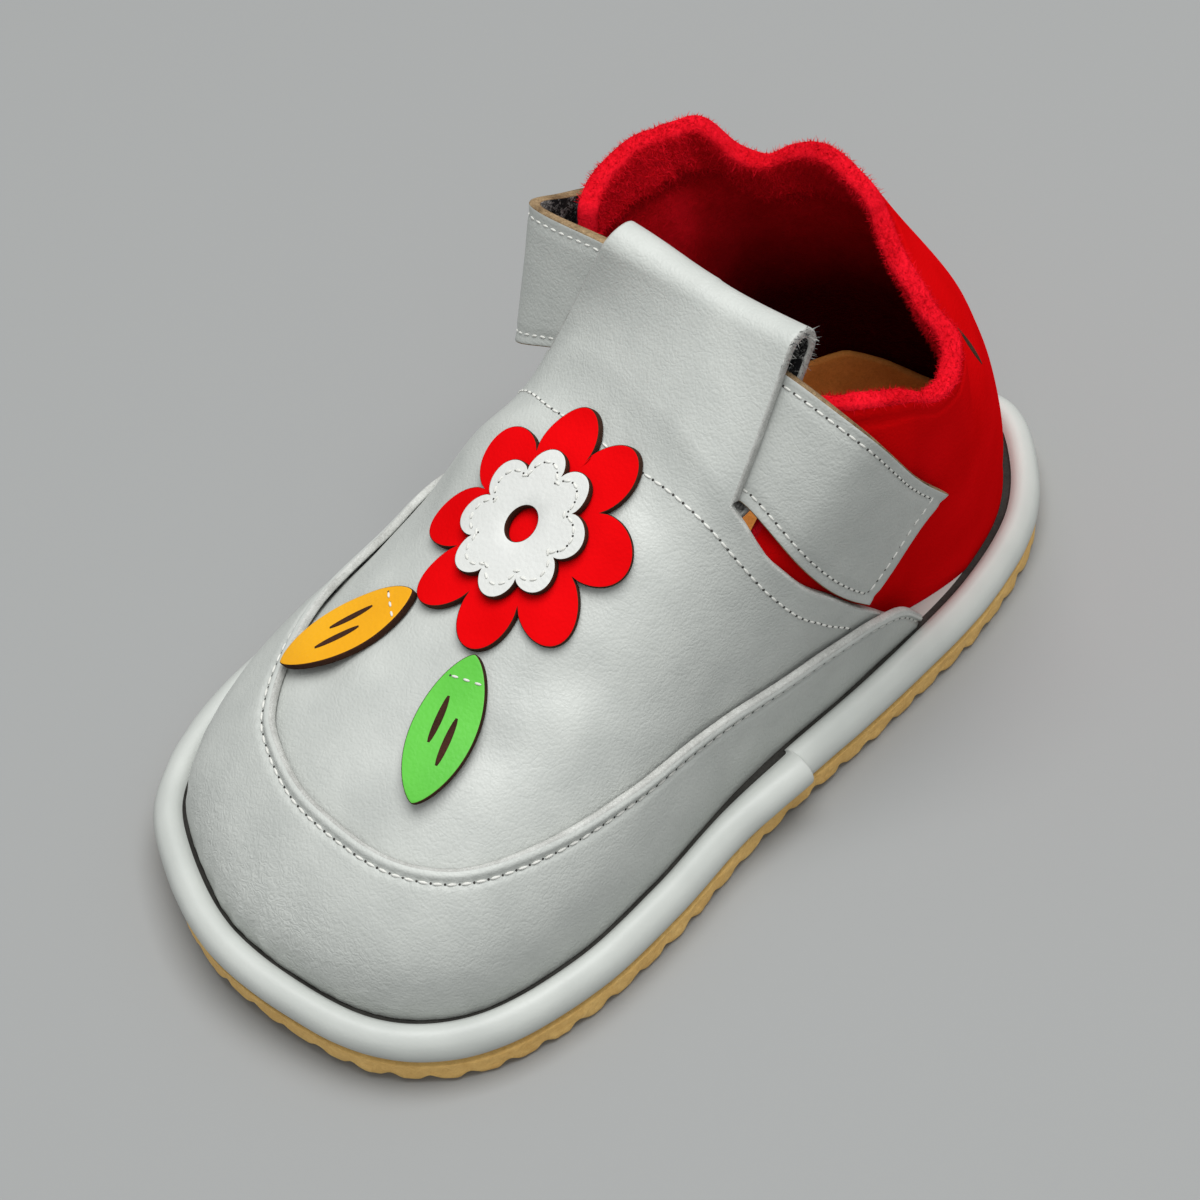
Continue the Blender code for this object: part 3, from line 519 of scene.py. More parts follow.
# tones: where a group's tone turns dark and light; the darkening is painted shade deep inside the shoe, given
# as the height in metres below which the colour is darkened, the height where that ends, and the share of the
# colour that is left
finishes = {
    "greyLeather": finish(
        "grain", (0.455, 0.475, 0.45), (0.53, 0.55, 0.52), 0.49, (0.26, 0.0002), 0.42, coat=0.06,
        inputs={"Pebbles": 2300.0, "Wrinkles": 460.0, "Wrinkling": 0.45, "Patches": 110.0},
    ),
    "greyStretched": finish(
        "grain", (0.455, 0.475, 0.45), (0.525, 0.545, 0.515), 0.5, (0.06, 0.0002), 0.42, coat=0.06,
        inputs={"Pebbles": 2000.0, "Wrinkling": 0.05},
    ),
    "greyEdge": finish(
        "nap", (0.3, 0.3, 0.28), (0.6, 0.61, 0.58), 0.85, (0.6, 0.0002), tones=(0.36, 0.62),
        inputs={"Fibres": 2600.0},
    ),
    "greyFlesh": finish(
        "nap", (0.012, 0.012, 0.013), (0.62, 0.62, 0.59), 0.95, (0.9, 0.0004), 0.1, tones=(0.47, 0.63),
        inputs={"Fibres": 1500.0},
    ),
    "tanCut": finish(
        "nap", (0.1, 0.06, 0.03), (0.4, 0.28, 0.155), 0.9, (0.6, 0.0002), 0.1, tones=(0.4, 0.62),
        inputs={"Fibres": 2400.0},
    ),
    "redLeather": finish(
        "grain", (0.62, 0.002, 0.003), (0.75, 0.003, 0.005), 0.62, (0.2, 0.0002), 0.0,
        inputs={"Pebbles": 1900.0},
    ),
    # the lining is darker towards the bottom: painted shade deep inside the shoe
    "redSuede": finish(
        "nap", (0.5, 0.002, 0.004), (1.0, 0.01, 0.024), 0.95, (0.7, 0.0005), 0.02, tones=(0.36, 0.64),
        sheen=0.25, inputs={"Brushed": 110.0}, worn=(0.032, 0.066, 0.02),
    ),
    # a brighter copy of the red suede: painted light on the collar's rim and its fibres, which catch the lamp
    "redSuedeLit": finish(
        "nap", (0.6, 0.004, 0.009), (1.0, 0.012, 0.03), 0.95, (0.8, 0.0005), 0.0, tones=(0.36, 0.64),
        sheen=0.2,
    ),
    "gumRubber": finish(
        "nap", (0.68, 0.38, 0.1), (1.0, 0.67, 0.24), 0.72, (0.6, 0.0004), 0.3,
        inputs={"Fibres": 900.0, "Brushed": 90.0},
    ),
    "camelSuede": finish(
        "nap", (0.52, 0.17, 0.035), (0.92, 0.37, 0.09), 0.95, (0.6, 0.0004), 0.05, sheen=0.15,
        inputs={"Fibres": 2000.0},
    ),
    "whiteLeather": finish("grain", (0.6, 0.61, 0.585), (0.67, 0.68, 0.655), 0.5, (0.2, 0.0002), 0.4),
    "yellowLeather": finish("grain", (0.74, 0.33, 0.004), (0.83, 0.41, 0.008), 0.5, (0.2, 0.0002), 0.25),
    "greenLeather": finish("grain", (0.085, 0.43, 0.04), (0.12, 0.53, 0.06), 0.5, (0.2, 0.0002), 0.25),
    # painted shade: a near-black look for the groove between the rand and the upper
    "grooveShade": finish("nap", (0.02, 0.019, 0.017), (0.07, 0.068, 0.062), 0.95, (0.3, 0.0002), 0.05),
    "scorchedEdge": finish(
        "nap", (0.01, 0.006, 0.004), (0.08, 0.03, 0.017), 0.85, (0.6, 0.0002), 0.1,
        inputs={"Fibres": 2600.0},
    ),
    "darkTape": finish(
        "nap", (0.005, 0.007, 0.01), (0.12, 0.13, 0.15), 0.95, (0.9, 0.0006), 0.1, tones=(0.4, 0.66),
        inputs={"Fibres": 1500.0},
    ),
    "paleFibre": finish("nap", (0.35, 0.35, 0.33), (0.62, 0.62, 0.59), 0.9, (0.2, 0.0001), 0.1),
    "thread": finish(
        "nap", (0.56, 0.56, 0.52), (0.82, 0.82, 0.78), 0.75, (0.5, 0.0001), 0.2,
        inputs={"Fibres": 5000.0},
    ),
    # needle holes are dark beads: painted shade inside each hole
    "needleHole": finish("nap", (0.02, 0.02, 0.019), (0.09, 0.085, 0.08), 0.95, (0.2, 0.0001), 0.02),
}


# painted shade: the colour darkens below a height, towards the bottom of the shoe
def darkened(tree, place, colour, low, high, left):
    height = addNode(tree, "ShaderNodeSeparateXYZ", {"Vector": place}).outputs["Z"]
    shadeRamp = {"Value": height, "From Min": low, "From Max": high, "To Min": left}
    share = addNode(tree, "ShaderNodeMapRange", shadeRamp, {"interpolation_type": "SMOOTHSTEP"}).outputs[0]
    worn = {"Fac": share, "Color1": (0, 0, 0, 1), "Color2": colour}
    return addNode(tree, "ShaderNodeMixRGB", worn).outputs[0]


lastedWrinkles = {"wander": 1.2, "sharpness": 8.0}


def lastedHeight(tree, place, height, start, full, scale, depth):
    y = addNode(tree, "ShaderNodeSeparateXYZ", {"Vector": place}).outputs["Y"]
    share = addNode(tree, "ShaderNodeMapRange", {"Value": y, "From Min": start, "From Max": full}).outputs[0]
    trough = troughs(tree, place, scale, lastedWrinkles["wander"], lastedWrinkles["sharpness"])
    sunk = doMath(tree, "MULTIPLY", trough, doMath(tree, "MULTIPLY", share, depth))
    return doMath(tree, "SUBTRACT", height, sunk)


lookShared = {
    "inputs": {},
    "tones": (0.3, 0.7),
    "coat": 0.0,
    "sheen": 0.0,
    "roughnessMore": 0.08,  # in the hollows of the grain
    "roughnessLess": 0.06,
    "coatRoughness": 0.35,
    "sheenRoughness": 0.4,
}


def makeLook(name):
    # a group's tone runs between two colours, and its height feeds roughness and bump
    s = {**lookShared, **finishes[name]}
    look = bpy.data.materials.new(name)
    look.use_nodes = True
    tree = look.node_tree
    shader = tree.nodes["Principled BSDF"]
    surface = tree.nodes.new("ShaderNodeGroup")
    surface.node_tree = groups[s["surface"]]
    place = tree.nodes.new("ShaderNodeTexCoord").outputs["Object"]
    tree.links.new(place, surface.inputs["Place"])
    for key, value in s["inputs"].items():
        surface.inputs[key].default_value = value
    tone, height = surface.outputs["Tone"], surface.outputs["Height"]
    low, high = s["tones"]
    share = addNode(tree, "ShaderNodeMapRange", {"Value": tone, "From Min": low, "From Max": high})
    colours = {"Fac": share.outputs[0], "Color1": (*s["dark"], 1), "Color2": (*s["light"], 1)}
    mix = addNode(tree, "ShaderNodeMixRGB", colours)
    rubbed = {"Value": height, "To Min": s["roughness"] + s["roughnessMore"]}
    rubbed["To Max"] = s["roughness"] - s["roughnessLess"]
    uneven = addNode(tree, "ShaderNodeMapRange", rubbed)
    strength, depth = s["bump"]
    if "lasted" in s:
        height = lastedHeight(tree, place, height, *s["lasted"])
    relief = addNode(tree, "ShaderNodeBump", {"Strength": strength, "Distance": depth, "Height": height})
    colour = mix.outputs[0]
    # painted shade on the lining, darker towards the bottom
    if "worn" in s:
        colour = darkened(tree, place, colour, *s["worn"])
    tree.links.new(colour, shader.inputs["Base Color"])
    tree.links.new(uneven.outputs[0], shader.inputs["Roughness"])
    tree.links.new(relief.outputs[0], shader.inputs["Normal"])
    shader.inputs["Specular IOR Level"].default_value = s["specular"]
    shader.inputs["Coat Weight"].default_value = s["coat"]
    shader.inputs["Coat Roughness"].default_value = s["coatRoughness"]
    shader.inputs["Sheen Weight"].default_value = s["sheen"]
    shader.inputs["Sheen Roughness"].default_value = s["sheenRoughness"]
    shader.inputs["Sheen Tint"].default_value = (*s["light"], 1)
    return look


# the toe panel also has fine wrinkles from lasting: y where they start and are full, scale and depth
finishes["greyLasted"] = {**finishes["greyLeather"], "lasted": (-0.058, -0.067, 620.0, 2.2)}
looks = {name: makeLook(name) for name in finishes}
print("materials made,", len(looks))


# Sole

crepeSheet = {
    "top": 4.0,
    "inset": 0.4,
    "bevel": 0.8,
    "bevelMiddle": (0.25, 0.3),  # inset, height
    "ribs": 34,
    "grooveDepth": 1.0,
    "stationsPerRib": 12,
    "across": 28,
    "sideRows": 5,
    "ragged": 0.22,
    "raggedSize": 1.6,
}


def grooveAt(share):
    s = crepeSheet
    part = (share * s["ribs"]) % 1.0
    return s["grooveDepth"] * eased(1 - 3 * np.abs(part - 2 / 3))


def closedLoops(loops, capColumns):
    # faces of stacked loops that run toe, inner side, heel, outer side, with grids across their ends
    count = len(loops[0])
    points = [p for loop in loops for p in loop]
    faces = []
    for i in range(len(loops) - 1):
        for k in range(count):
            a, b = i * count + k, i * count + (k + 1) % count
            faces.append((a, b, b + count, a + count))
    for first in (0, len(loops) - 1):
        rows = []
        loop = np.array(loops[first])
        for k in range(count // 2 + 1):
            start, end = first * count + k, first * count + (count - k) % count
            if start == end:
                rows.append([start] * (capColumns + 1))
                continue
            inside = []
            for u in np.arange(1, capColumns) / capColumns:
                inside.append(len(points))
                points.append(loop[k] + u * (loop[(count - k) % count] - loop[k]))
            rows.append([start, *inside, end])
        for one, two in zip(rows, rows[1:]):
            for k in range(capColumns):
                face = tuple(dict.fromkeys((one[k], one[k + 1], two[k + 1], two[k])))
                if len(face) > 2:
                    faces.append(face)
    return points, faces


def sharesBothSides(shares):
    return np.concatenate([shares, 2 - shares[-2:0:-1]])


def makeOutsole():
    s = crepeSheet
    half = np.arange(s["ribs"] * s["stationsPerRib"] + 1) / (s["ribs"] * s["stationsPerRib"])
    shares = sharesBothSides(half)
    groove = grooveAt(np.where(shares > 1, 2 - shares, shares))
    bevelIn, bevelUp = s["bevelMiddle"]
    heights = [(s["bevel"], groove), (bevelIn, groove + bevelUp), (0.0, groove + s["bevel"])]
    for u in np.arange(1, s["sideRows"] + 1) / s["sideRows"]:
        heights.append((0.0, (groove + s["bevel"]) * (1 - u) + s["top"] * u))
    loops = []
    for i, (inset, height) in enumerate(heights):
        plan = edgeAt(shares, s["inset"] + inset)
        points = np.column_stack([plan, height + liftAt(plan[:, 1])])
        if 1 < i < len(heights) - 1:
            inward = edgeAt(shares, 1.0) - edgeAt(shares, 0.0)
            points[:, :2] += inward * rough(points, s["raggedSize"], s["ragged"])[:, None]
        loops.append(points)
    points, faces = closedLoops(loops, s["across"])
    makePiece("crepeOutsole", points, faces, [looks["gumRubber"]], node="outsole")


randWrap = {
    # inset and height of its section
    "roll": ((1.6, 4.3), (0.3, 5.3), (0.0, 6.7), (0.7, 8.4), (2.2, 9.5), (3.6, 9.3), (4.7, 8.1)),
    "rollSteps": 5,
    "stations": 300,
    "lapY": 5.7,  # end of the wrap that laps over, on the inner side
    "lapRun": 18.0,
    "lapRise": 1.7,
    "lapStep": 0.7,
    "lapFoot": 0.25,  # share of its swelling that the lap has at the two edges of the roll
    "lapStations": 16,
    "lapAround": (-0.6, 0.8),  # finer stations, from the lap's end
    "wrinkle": 0.1,
    "wrinkleSize": 5.0,
    "uneven": 0.2,
    "unevenSize": 16.0,
    "across": 10,
    # painted shade: the last rows of the roll, by the groove beside the upper's foot, are near black,
    # standing in for the groove's shadow
    "shadedRows": 3,  # of the roll and the groove beside the upper's foot
    "grooveIn": 0.9,
}


def lapSwell(share, y):
    s = randWrap
    run = eased(1 - (s["lapY"] - y) / s["lapRun"])
    step = np.sqrt(np.clip(1 - ((y - s["lapY"]) / s["lapStep"]) ** 2, 0, 1))
    swell = np.where(y <= s["lapY"], run, np.where(y < s["lapY"] + s["lapStep"], step, 0))
    return np.where(share > 1, 0, s["lapRise"] * swell)


def makeRand():
    s = randWrap
    lapFrom, lapTo = (float(shareAt(1, s["lapY"] + offset)) for offset in s["lapAround"])
    half = np.arange(s["stations"] + 1) / s["stations"]
    half = np.sort(np.concatenate([half, np.linspace(lapFrom, lapTo, s["lapStations"])]))
    shares = sharesBothSides(half)
    footY = edgeAt(shares, lastShape["featherInset"])[:, 1]
    swell = lapSwell(shares, footY)
    loops = []
    profile = splineThrough(s["roll"], s["rollSteps"])
    for i, (inset, height) in enumerate(profile):
        bulge = math.sin(math.pi * i / (len(profile) - 1))
        plan = edgeAt(shares, inset - swell * (s["lapFoot"] + (1 - s["lapFoot"]) * bulge))
        points = np.column_stack([plan, height + 0.5 * swell * bulge + liftAt(plan[:, 1])])
        inward = edgeAt(shares, 1.0) - edgeAt(shares, 0.0)
        wavy = rough(points, s["wrinkleSize"], s["wrinkle"]) + rough(points, s["unevenSize"], s["uneven"])
        points[:, :2] -= inward * (bulge * wavy)[:, None]
        loops.append(points)
    plan = edgeAt(shares, inset + s["grooveIn"])
    loops.append(np.column_stack([plan, height + liftAt(plan[:, 1])]))
    points, faces = closedLoops(loops, s["across"])
    sides = (len(loops) - 1) * len(shares)
    cap = (len(faces) - sides) // 2
    # the last rows of the roll get the painted groove shade
    unshadedFaces = sides - s["shadedRows"] * len(shares)
    picks = [0] * unshadedFaces + [1] * (sides - unshadedFaces) + [0] * 2 * cap
    skins = [looks["greyStretched"], looks["grooveShade"]]
    makePiece("randWrap", points, faces, skins, picks, "wrapped_midsole")


insoleSock = {
    "inset": ((-75.0, 8.5), (-8.0, 8.5), (4.0, 10.3), (37.0, 10.3), (50.0, 7.7), (75.0, 7.7)),  # y, inset
    "bottom": 8.4,
    "thickness": 1.8,
    "stations": 140,
    "heelCup": ((44.0, 0.0), (50.0, 9.3), (57.0, 11.0), (62.0, 9.0), (66.0, 6.5), (75.0, 5.0)),  # y, height
    "cupWall": 1.3,
    "cupFillet": 0.6,
    "cupBlend": 2.0,  # height over which its edge comes to lie against the quarter
    "roundSteps": 6,
    "across": 24,
    "footBevel": (0.4, 0.5),  # inset, height
    "uneven": 0.12,
    "unevenSize": 9.0,
    "unevenFrom": 1.2,  # above its bottom
}


def makeInsole():
    s = insoleSock
    shares = sharesBothSides(np.arange(s["stations"] + 1) / s["stations"])
    y = edgeAt(shares, lastShape["featherInset"])[:, 1]
    inset = straightAt(s["inset"], y)
    cup = straightAt(s["heelCup"], y)
    floor = s["bottom"] + liftAt(y)
    high = floor + s["thickness"] + cup
    against = eased(cup / s["cupBlend"])[:, None]
    wall = straightAt(heelQuarter["depth"], y) + heelQuarter["wall"] + gap

    def cupEdge(into, drop):
        flat = np.column_stack([edgeAt(shares, inset + into), high - drop])
        leaning = skinAt(shares, levelAt(shares, high - drop), wall + into)
        return flat + against * (leaning - flat)

    bevelIn, bevelUp = s["footBevel"]
    loops = [np.column_stack([edgeAt(shares, inset + bevelIn), floor])]
    loops.append(np.column_stack([edgeAt(shares, inset), floor + bevelUp]))
    half = 0.5 * s["cupWall"]
    for turn in np.arange(s["roundSteps"] + 1) * math.pi / s["roundSteps"]:
        loops.append(cupEdge(half * (1 - math.cos(turn)), half * (1 - math.sin(turn))))
    inside = np.column_stack([edgeAt(shares, inset + s["cupWall"] + s["cupFillet"]), floor + s["thickness"]])
    for u in (0.25, 0.5, 0.75):
        loops.append(loops[-1 - round(4 * u - 1)] * (1 - u) + inside * u)
    loops.append(inside)
    points, faces = closedLoops(loops, s["across"])
    points = np.array(points)
    above = points[:, 2] > s["bottom"] + s["unevenFrom"]
    points[:, 2] += rough(points, s["unevenSize"], s["uneven"]) * above
    makePiece("insoleSock", points, faces, [looks["camelSuede"]], node="insole")


makeOutsole()
makeRand()


# Vamp with its wings and folded tongue

vampLeather = {
    "wall": 1.5,
    "depth": 1.5,  # under the last, below the toe panel
    "throatY": (3.0, 5.8),  # outer side, inner side
    "rows": 44,
    "levels": 60,
    "throatLevel": 7 / 12,
    "toeSpokes": 72,
    "wingEdge": (  # y, height
        (7.4, 46.6),
        (9.6, 42.6),
        (12.5, 38.0),
        (17.5, 31.9),
        (22.0, 25.8),
        (26.0, 20.8),
        (32.0, 12.5),
    ),
    "wingRows": 32,
    "foldLateral": (-14.0, 11.8, 72.4),
    "foldMedial": (16.6, 18.9, 72.2),
    "foldRadius": 3.3,
    "foldSteps": 16,
    "tongueRows": 26,
    "tongueSag": 0.2,
    "seamRun": 2.5,
    "tunnelWidth": 22.4,
    "creases": (  # from x, y, to x, y, width, depth: soft troughs
        (-20.0, -34.0, -4.0, -46.0, 3.0, 0.5),
        (22.0, -30.0, 10.0, -44.0, 3.2, 0.55),
        (24.0, -16.0, 14.0, -30.0, 2.6, 0.4),
        (-24.0, -12.0, -15.0, -24.0, 2.8, 0.4),
        (20.0, -4.0, 12.0, -1.0, 2.4, 0.35),
        (-19.0, -2.0, -11.0, 0.5, 2.4, 0.35),
    ),
    "creasesTo": 6.0,  # y
    "uneven": 0.22,
    "unevenSize": 14.0,
    "fibreRows": (-3, 5),  # before and after the fold
}


# a trough between low ridges
creaseShape = {"fadeFrom": 0.08, "fadeRun": 0.84, "ridge": 0.55, "ridgeAt": 1.9}


def creaseHeights(points, creases):
    s = creaseShape
    plan = np.asarray(points)[:, :2]
    heights = np.zeros(len(plan))
    for x0, y0, x1, y1, width, depth in creases:
        start, run = np.array([x0, y0]), np.array([x1 - x0, y1 - y0])
        u = np.clip((plan - start) @ run / (run @ run), 0, 1)
        far = np.linalg.norm(plan - start - u[:, None] * run, axis=1) / width
        fade = np.sin(math.pi * np.clip(s["fadeFrom"] + s["fadeRun"] * u, 0, 1))
        ridges = s["ridge"] * np.exp(-((far - s["ridgeAt"]) ** 2))
        heights += depth * fade * (ridges - np.exp(-(far**2)))
    return heights


def vampRelief(points):
    s = vampLeather
    creased = creaseHeights(points, s["creases"]) * (points[:, 1] < s["creasesTo"])
    return creased + rough(points, s["unevenSize"], s["uneven"])


def vampSkins(share, level):
    s = vampLeather
    return skinAt(share, level, s["depth"]), skinAt(share, level, s["depth"] + s["wall"])


def vampFront(sheet):
    # arches from the toe's focus to the throat, and the spokes of the toe
    s = vampLeather
    n = s["levels"]
    up = np.arange(n + 1) / n
    levels = np.concatenate([up, up[-2::-1]])
    arches = []
    throatY = np.linspace(*s["throatY"], 2 * n + 1)
    for u in np.arange(s["rows"] + 1) / s["rows"]:
        y = lastShape["toeFocus"] + u * (throatY - lastShape["toeFocus"])
        shares = np.where(np.arange(2 * n + 1) <= n, shareAt(-1, y), shareAt(1, y))
        arches.append(sheet.addRow(*vampSkins(shares, levels)))
    for first, second in zip(arches, arches[1:]):
        sheet.join(first, second)
    pole = arches[0][n]
    ends = float(shareAt(-1, lastShape["toeFocus"])) - 2, float(shareAt(1, lastShape["toeFocus"]))
    spokes = [arches[0][: n + 1]]
    for share in np.linspace(*ends, s["toeSpokes"] + 1)[1:-1]:
        spokes.append([*sheet.addRow(*vampSkins(np.full(n, share % 2), up[:-1])), pole])
    spokes.append(arches[0][: n - 1 : -1])
    for first, second in zip(spokes, spokes[1:]):
        sheet.join(first, second)
    return arches[-1]


def throatCorner(side):
    # y and height where the tongue's edge meets the wing's
    s = vampLeather
    outer, inner = s["throatY"]
    part = 0.5 * s["throatLevel"] if side < 0 else 1 - 0.5 * s["throatLevel"]
    y = outer + (inner - outer) * part
    return y, float(lastAt(shareAt(side, y), s["throatLevel"])[2])


def vampWings(sheet, throat, reach):
    s = vampLeather
    for side, row in ((-1, throat[: reach + 1]), (1, throat[::-1][: reach + 1])):
        edge = (throatCorner(side), *s["wingEdge"])
        for y in np.linspace(edge[0][0], edge[-1][0], s["wingRows"] + 1)[1:]:
            share = shareAt(side, y)
            levels = levelAt(share, tableAt(edge, y)) * np.arange(reach + 1) / reach
            following = sheet.addRow(*vampSkins(np.full(reach + 1, share), levels))
            sheet.join(row, following)
            row = following


def tongueFrames(starts):
    # for each column of the tongue: its root, its place on the fold, the way up it and the way out of it
    s = vampLeather
    across = np.array(s["foldMedial"]) - np.array(s["foldLateral"])
    folds = np.array(s["foldLateral"]) + across * np.linspace(0, 1, len(starts))[:, None]
    up = unit(folds - starts)
    return starts, folds, up, unit(np.cross(across, up))


def vampTongue(sheet, root, frames):
    s = vampLeather
    starts, folds, up, out = frames
    wall, radius = s["wall"], s["foldRadius"]
    depth = np.maximum(np.linalg.norm(folds - starts, axis=1), s["tunnelWidth"])[:, None]
    rows = []
    for u in np.arange(1, s["tongueRows"] + 1) / s["tongueRows"]:
        point = starts + u * (folds - starts) - 4 * s["tongueSag"] * u * (1 - u) * out
        rows.append((point, point - wall * out))
    for turn in np.arange(1, s["foldSteps"] + 1) * math.pi / s["foldSteps"]:
        spoke = math.cos(turn) * out + math.sin(turn) * up
        point = folds + radius * (spoke - out)
        rows.append((point, point - wall * spoke))
    for u in np.arange(1, s["tongueRows"] + 1) / s["tongueRows"]:
        point = folds - u * depth * up - 2 * radius * out
        rows.append((point, point + wall * out))
    point = folds - (depth + s["seamRun"]) * up - (2 * wall + gap) * out
    rows.append((point, point + wall * out))
    indices = [root]
    for outer, inner in rows:
        indices.append(sheet.addRow(outer, inner))
        sheet.join(*indices[-2:])
    return indices


def makeVamp():
    s = vampLeather
    sheet = Sheet()
    throat = vampFront(sheet)
    reach = round(s["levels"] * s["throatLevel"])
    vampWings(sheet, throat, reach)
    root = throat[reach : len(throat) - reach]
    tongue = vampTongue(sheet, root, tongueFrames(np.array(sheet.outer)[root]))
    sheet.push(vampRelief(np.array(sheet.outer)))
    skins = [looks["greyLeather"], looks["greyFlesh"], looks["greyEdge"]]
    makeSheetPiece("vampLeather", sheet, skins, "upper_vamp")
    before, after = s["fibreRows"]
    around = slice(s["tongueRows"] + before, s["tongueRows"] + s["foldSteps"] + after)
    inner = [row[-1] for row in tongue[around]]
    return np.stack([np.array(sheet.outer)[inner], np.array(sheet.inner)[inner]])


def unevenFolds(at, folds, sway, swayRate, fade, fadeRate, fadeStart):
    # waves along a line that crowd together, spread and fade
    strength = 1 - fade + fade * np.sin(fadeRate * at + fadeStart)
    return np.sin(folds * at + sway * np.sin(swayRate * at)) * strength


toePanel = {
    "edge": (  # y, height of the stitched edge on the outer and the inner side
        (-70.0, 27.8, 27.8),
        (-52.0, 29.3, 27.5),
        (-30.0, 30.0, 27.2),
        (-10.0, 31.0, 25.5),
        (4.0, 28.5, 22.8),
        (16.0, 24.0, 22.0),
        (26.0, 19.8, 19.8),
        (33.0, 15.0, 15.0),
        (36.0, 10.5, 10.5),
    ),
    "wall": 1.2,
    "columns": 460,
    "levels": 46,
    "rearY": 36.0,
    "seamIn": 1.75,  # stitches from the edge
    "seamDip": 0.32,
    "seamWidth": 0.55,
    "bead": 0.3,
    "beadIn": 0.6,
    "beadWidth": 0.6,
    "pucker": 0.1,
    "stitchPitch": 1.95,
    "crowding": 1.7,  # of the rows towards the stitched edge
    "toeReach": 0.28,
    "wrinkle": 0.2,
    "wrinkleLevels": (0.05, 0.3),
    "wrinkleFolds": (150, 1.4, 37, 0.4, 23, 1),
    "crinkle": 0.13,
    "crinkleSize": 1.7,
    "crinkleTo": 0.42,
    "uneven": 0.2,
    "unevenSize": 11.0,
    "seamCalm": 0.8,
    "rim": 0.35,
}


def panelTop(share):
    foot = edgeAt(share, lastShape["featherInset"])
    lateral, medial = (tableAt(toePanel["edge"], foot[..., 1], k) for k in (1, 2))
    return lateral + eased(0.5 + foot[..., 0] / soleWidth) * (medial - lateral)


def makeToePanel():
    s = toePanel
    ends = float(shareAt(-1, s["rearY"])) - 2, float(shareAt(1, s["rearY"]))
    shares = np.linspace(*ends, s["columns"] + 1)
    tops = levelAt(shares % 2, panelTop(shares % 2))
    rise = 1 - (1 - np.arange(s["levels"] + 1) / s["levels"]) ** s["crowding"]
    levels = tops[:, None] * rise
    grid = np.broadcast_to((shares % 2)[:, None], levels.shape)
    outer, inner = skinAt(grid, levels, 0.0), skinAt(grid, levels, s["wall"])
    down = np.linalg.norm(np.diff(outer, axis=1), axis=2)[:, ::-1].cumsum(axis=1)[:, ::-1]
    fromEdge = np.concatenate([down, np.zeros((len(shares), 1))], axis=1)
    row = np.argmin(np.abs(fromEdge - s["seamIn"]), axis=1)
    seamPoints = outer[np.arange(len(shares)), row]
    walked = walkedAlong(seamPoints)[:, None]
    seam = np.exp(-(((fromEdge - s["seamIn"]) / s["seamWidth"]) ** 2))
    bead = np.exp(-(((fromEdge - s["beadIn"]) / s["beadWidth"]) ** 2))
    tug = s["pucker"] * np.cos(2 * math.pi * walked / s["stitchPitch"])
    heights = s["bead"] * bead - (s["seamDip"] + tug) * seam
    # wrinkles from lasting, low on the toe
    atToe = np.exp(-((np.minimum(np.abs(shares), 0.5) / s["toeReach"]) ** 2))[:, None]
    lowest, highest = s["wrinkleLevels"]
    low = eased(1 - levels / highest) * eased(levels / lowest)
    folds = unevenFolds(shares, *s["wrinkleFolds"])
    heights = heights + s["wrinkle"] * atToe * low * folds[:, None]
    sheet = Sheet()
    sheet.addGrid(outer, inner)
    points = np.array(sheet.outer)
    crinkled = eased(1 - levels / s["crinkleTo"]) * atToe
    heights = heights + rough(points, s["crinkleSize"], s["crinkle"]).reshape(heights.shape) * crinkled
    uneven = rough(points, s["unevenSize"], s["uneven"]) * (1 - s["seamCalm"] * seam.ravel())
    sheet.push(heights.ravel() + uneven)
    skins = [looks["greyLasted"], looks["greyFlesh"], looks["greyEdge"]]
    makeSheetPiece("toePanel", sheet, skins, "toe_panel", s["rim"])
    return seamLine(*sheet.skins(outer.shape), fromEdge, s["seamIn"])


def seamLine(outer, inner, fromEdge, offset):
    # points at a distance from the last column's edge, and the way out there
    line, away = [], []
    for row, back, far in zip(outer, inner, fromEdge):
        line.append([np.interp(offset, far[::-1], row[::-1, k]) for k in range(3)])
        away.append([np.interp(offset, far[::-1], (row - back)[::-1, k]) for k in range(3)])
    return np.array(line), unit(np.array(away))


tongueEdge = makeVamp()
panelSeam = makeToePanel()


# Heel quarter

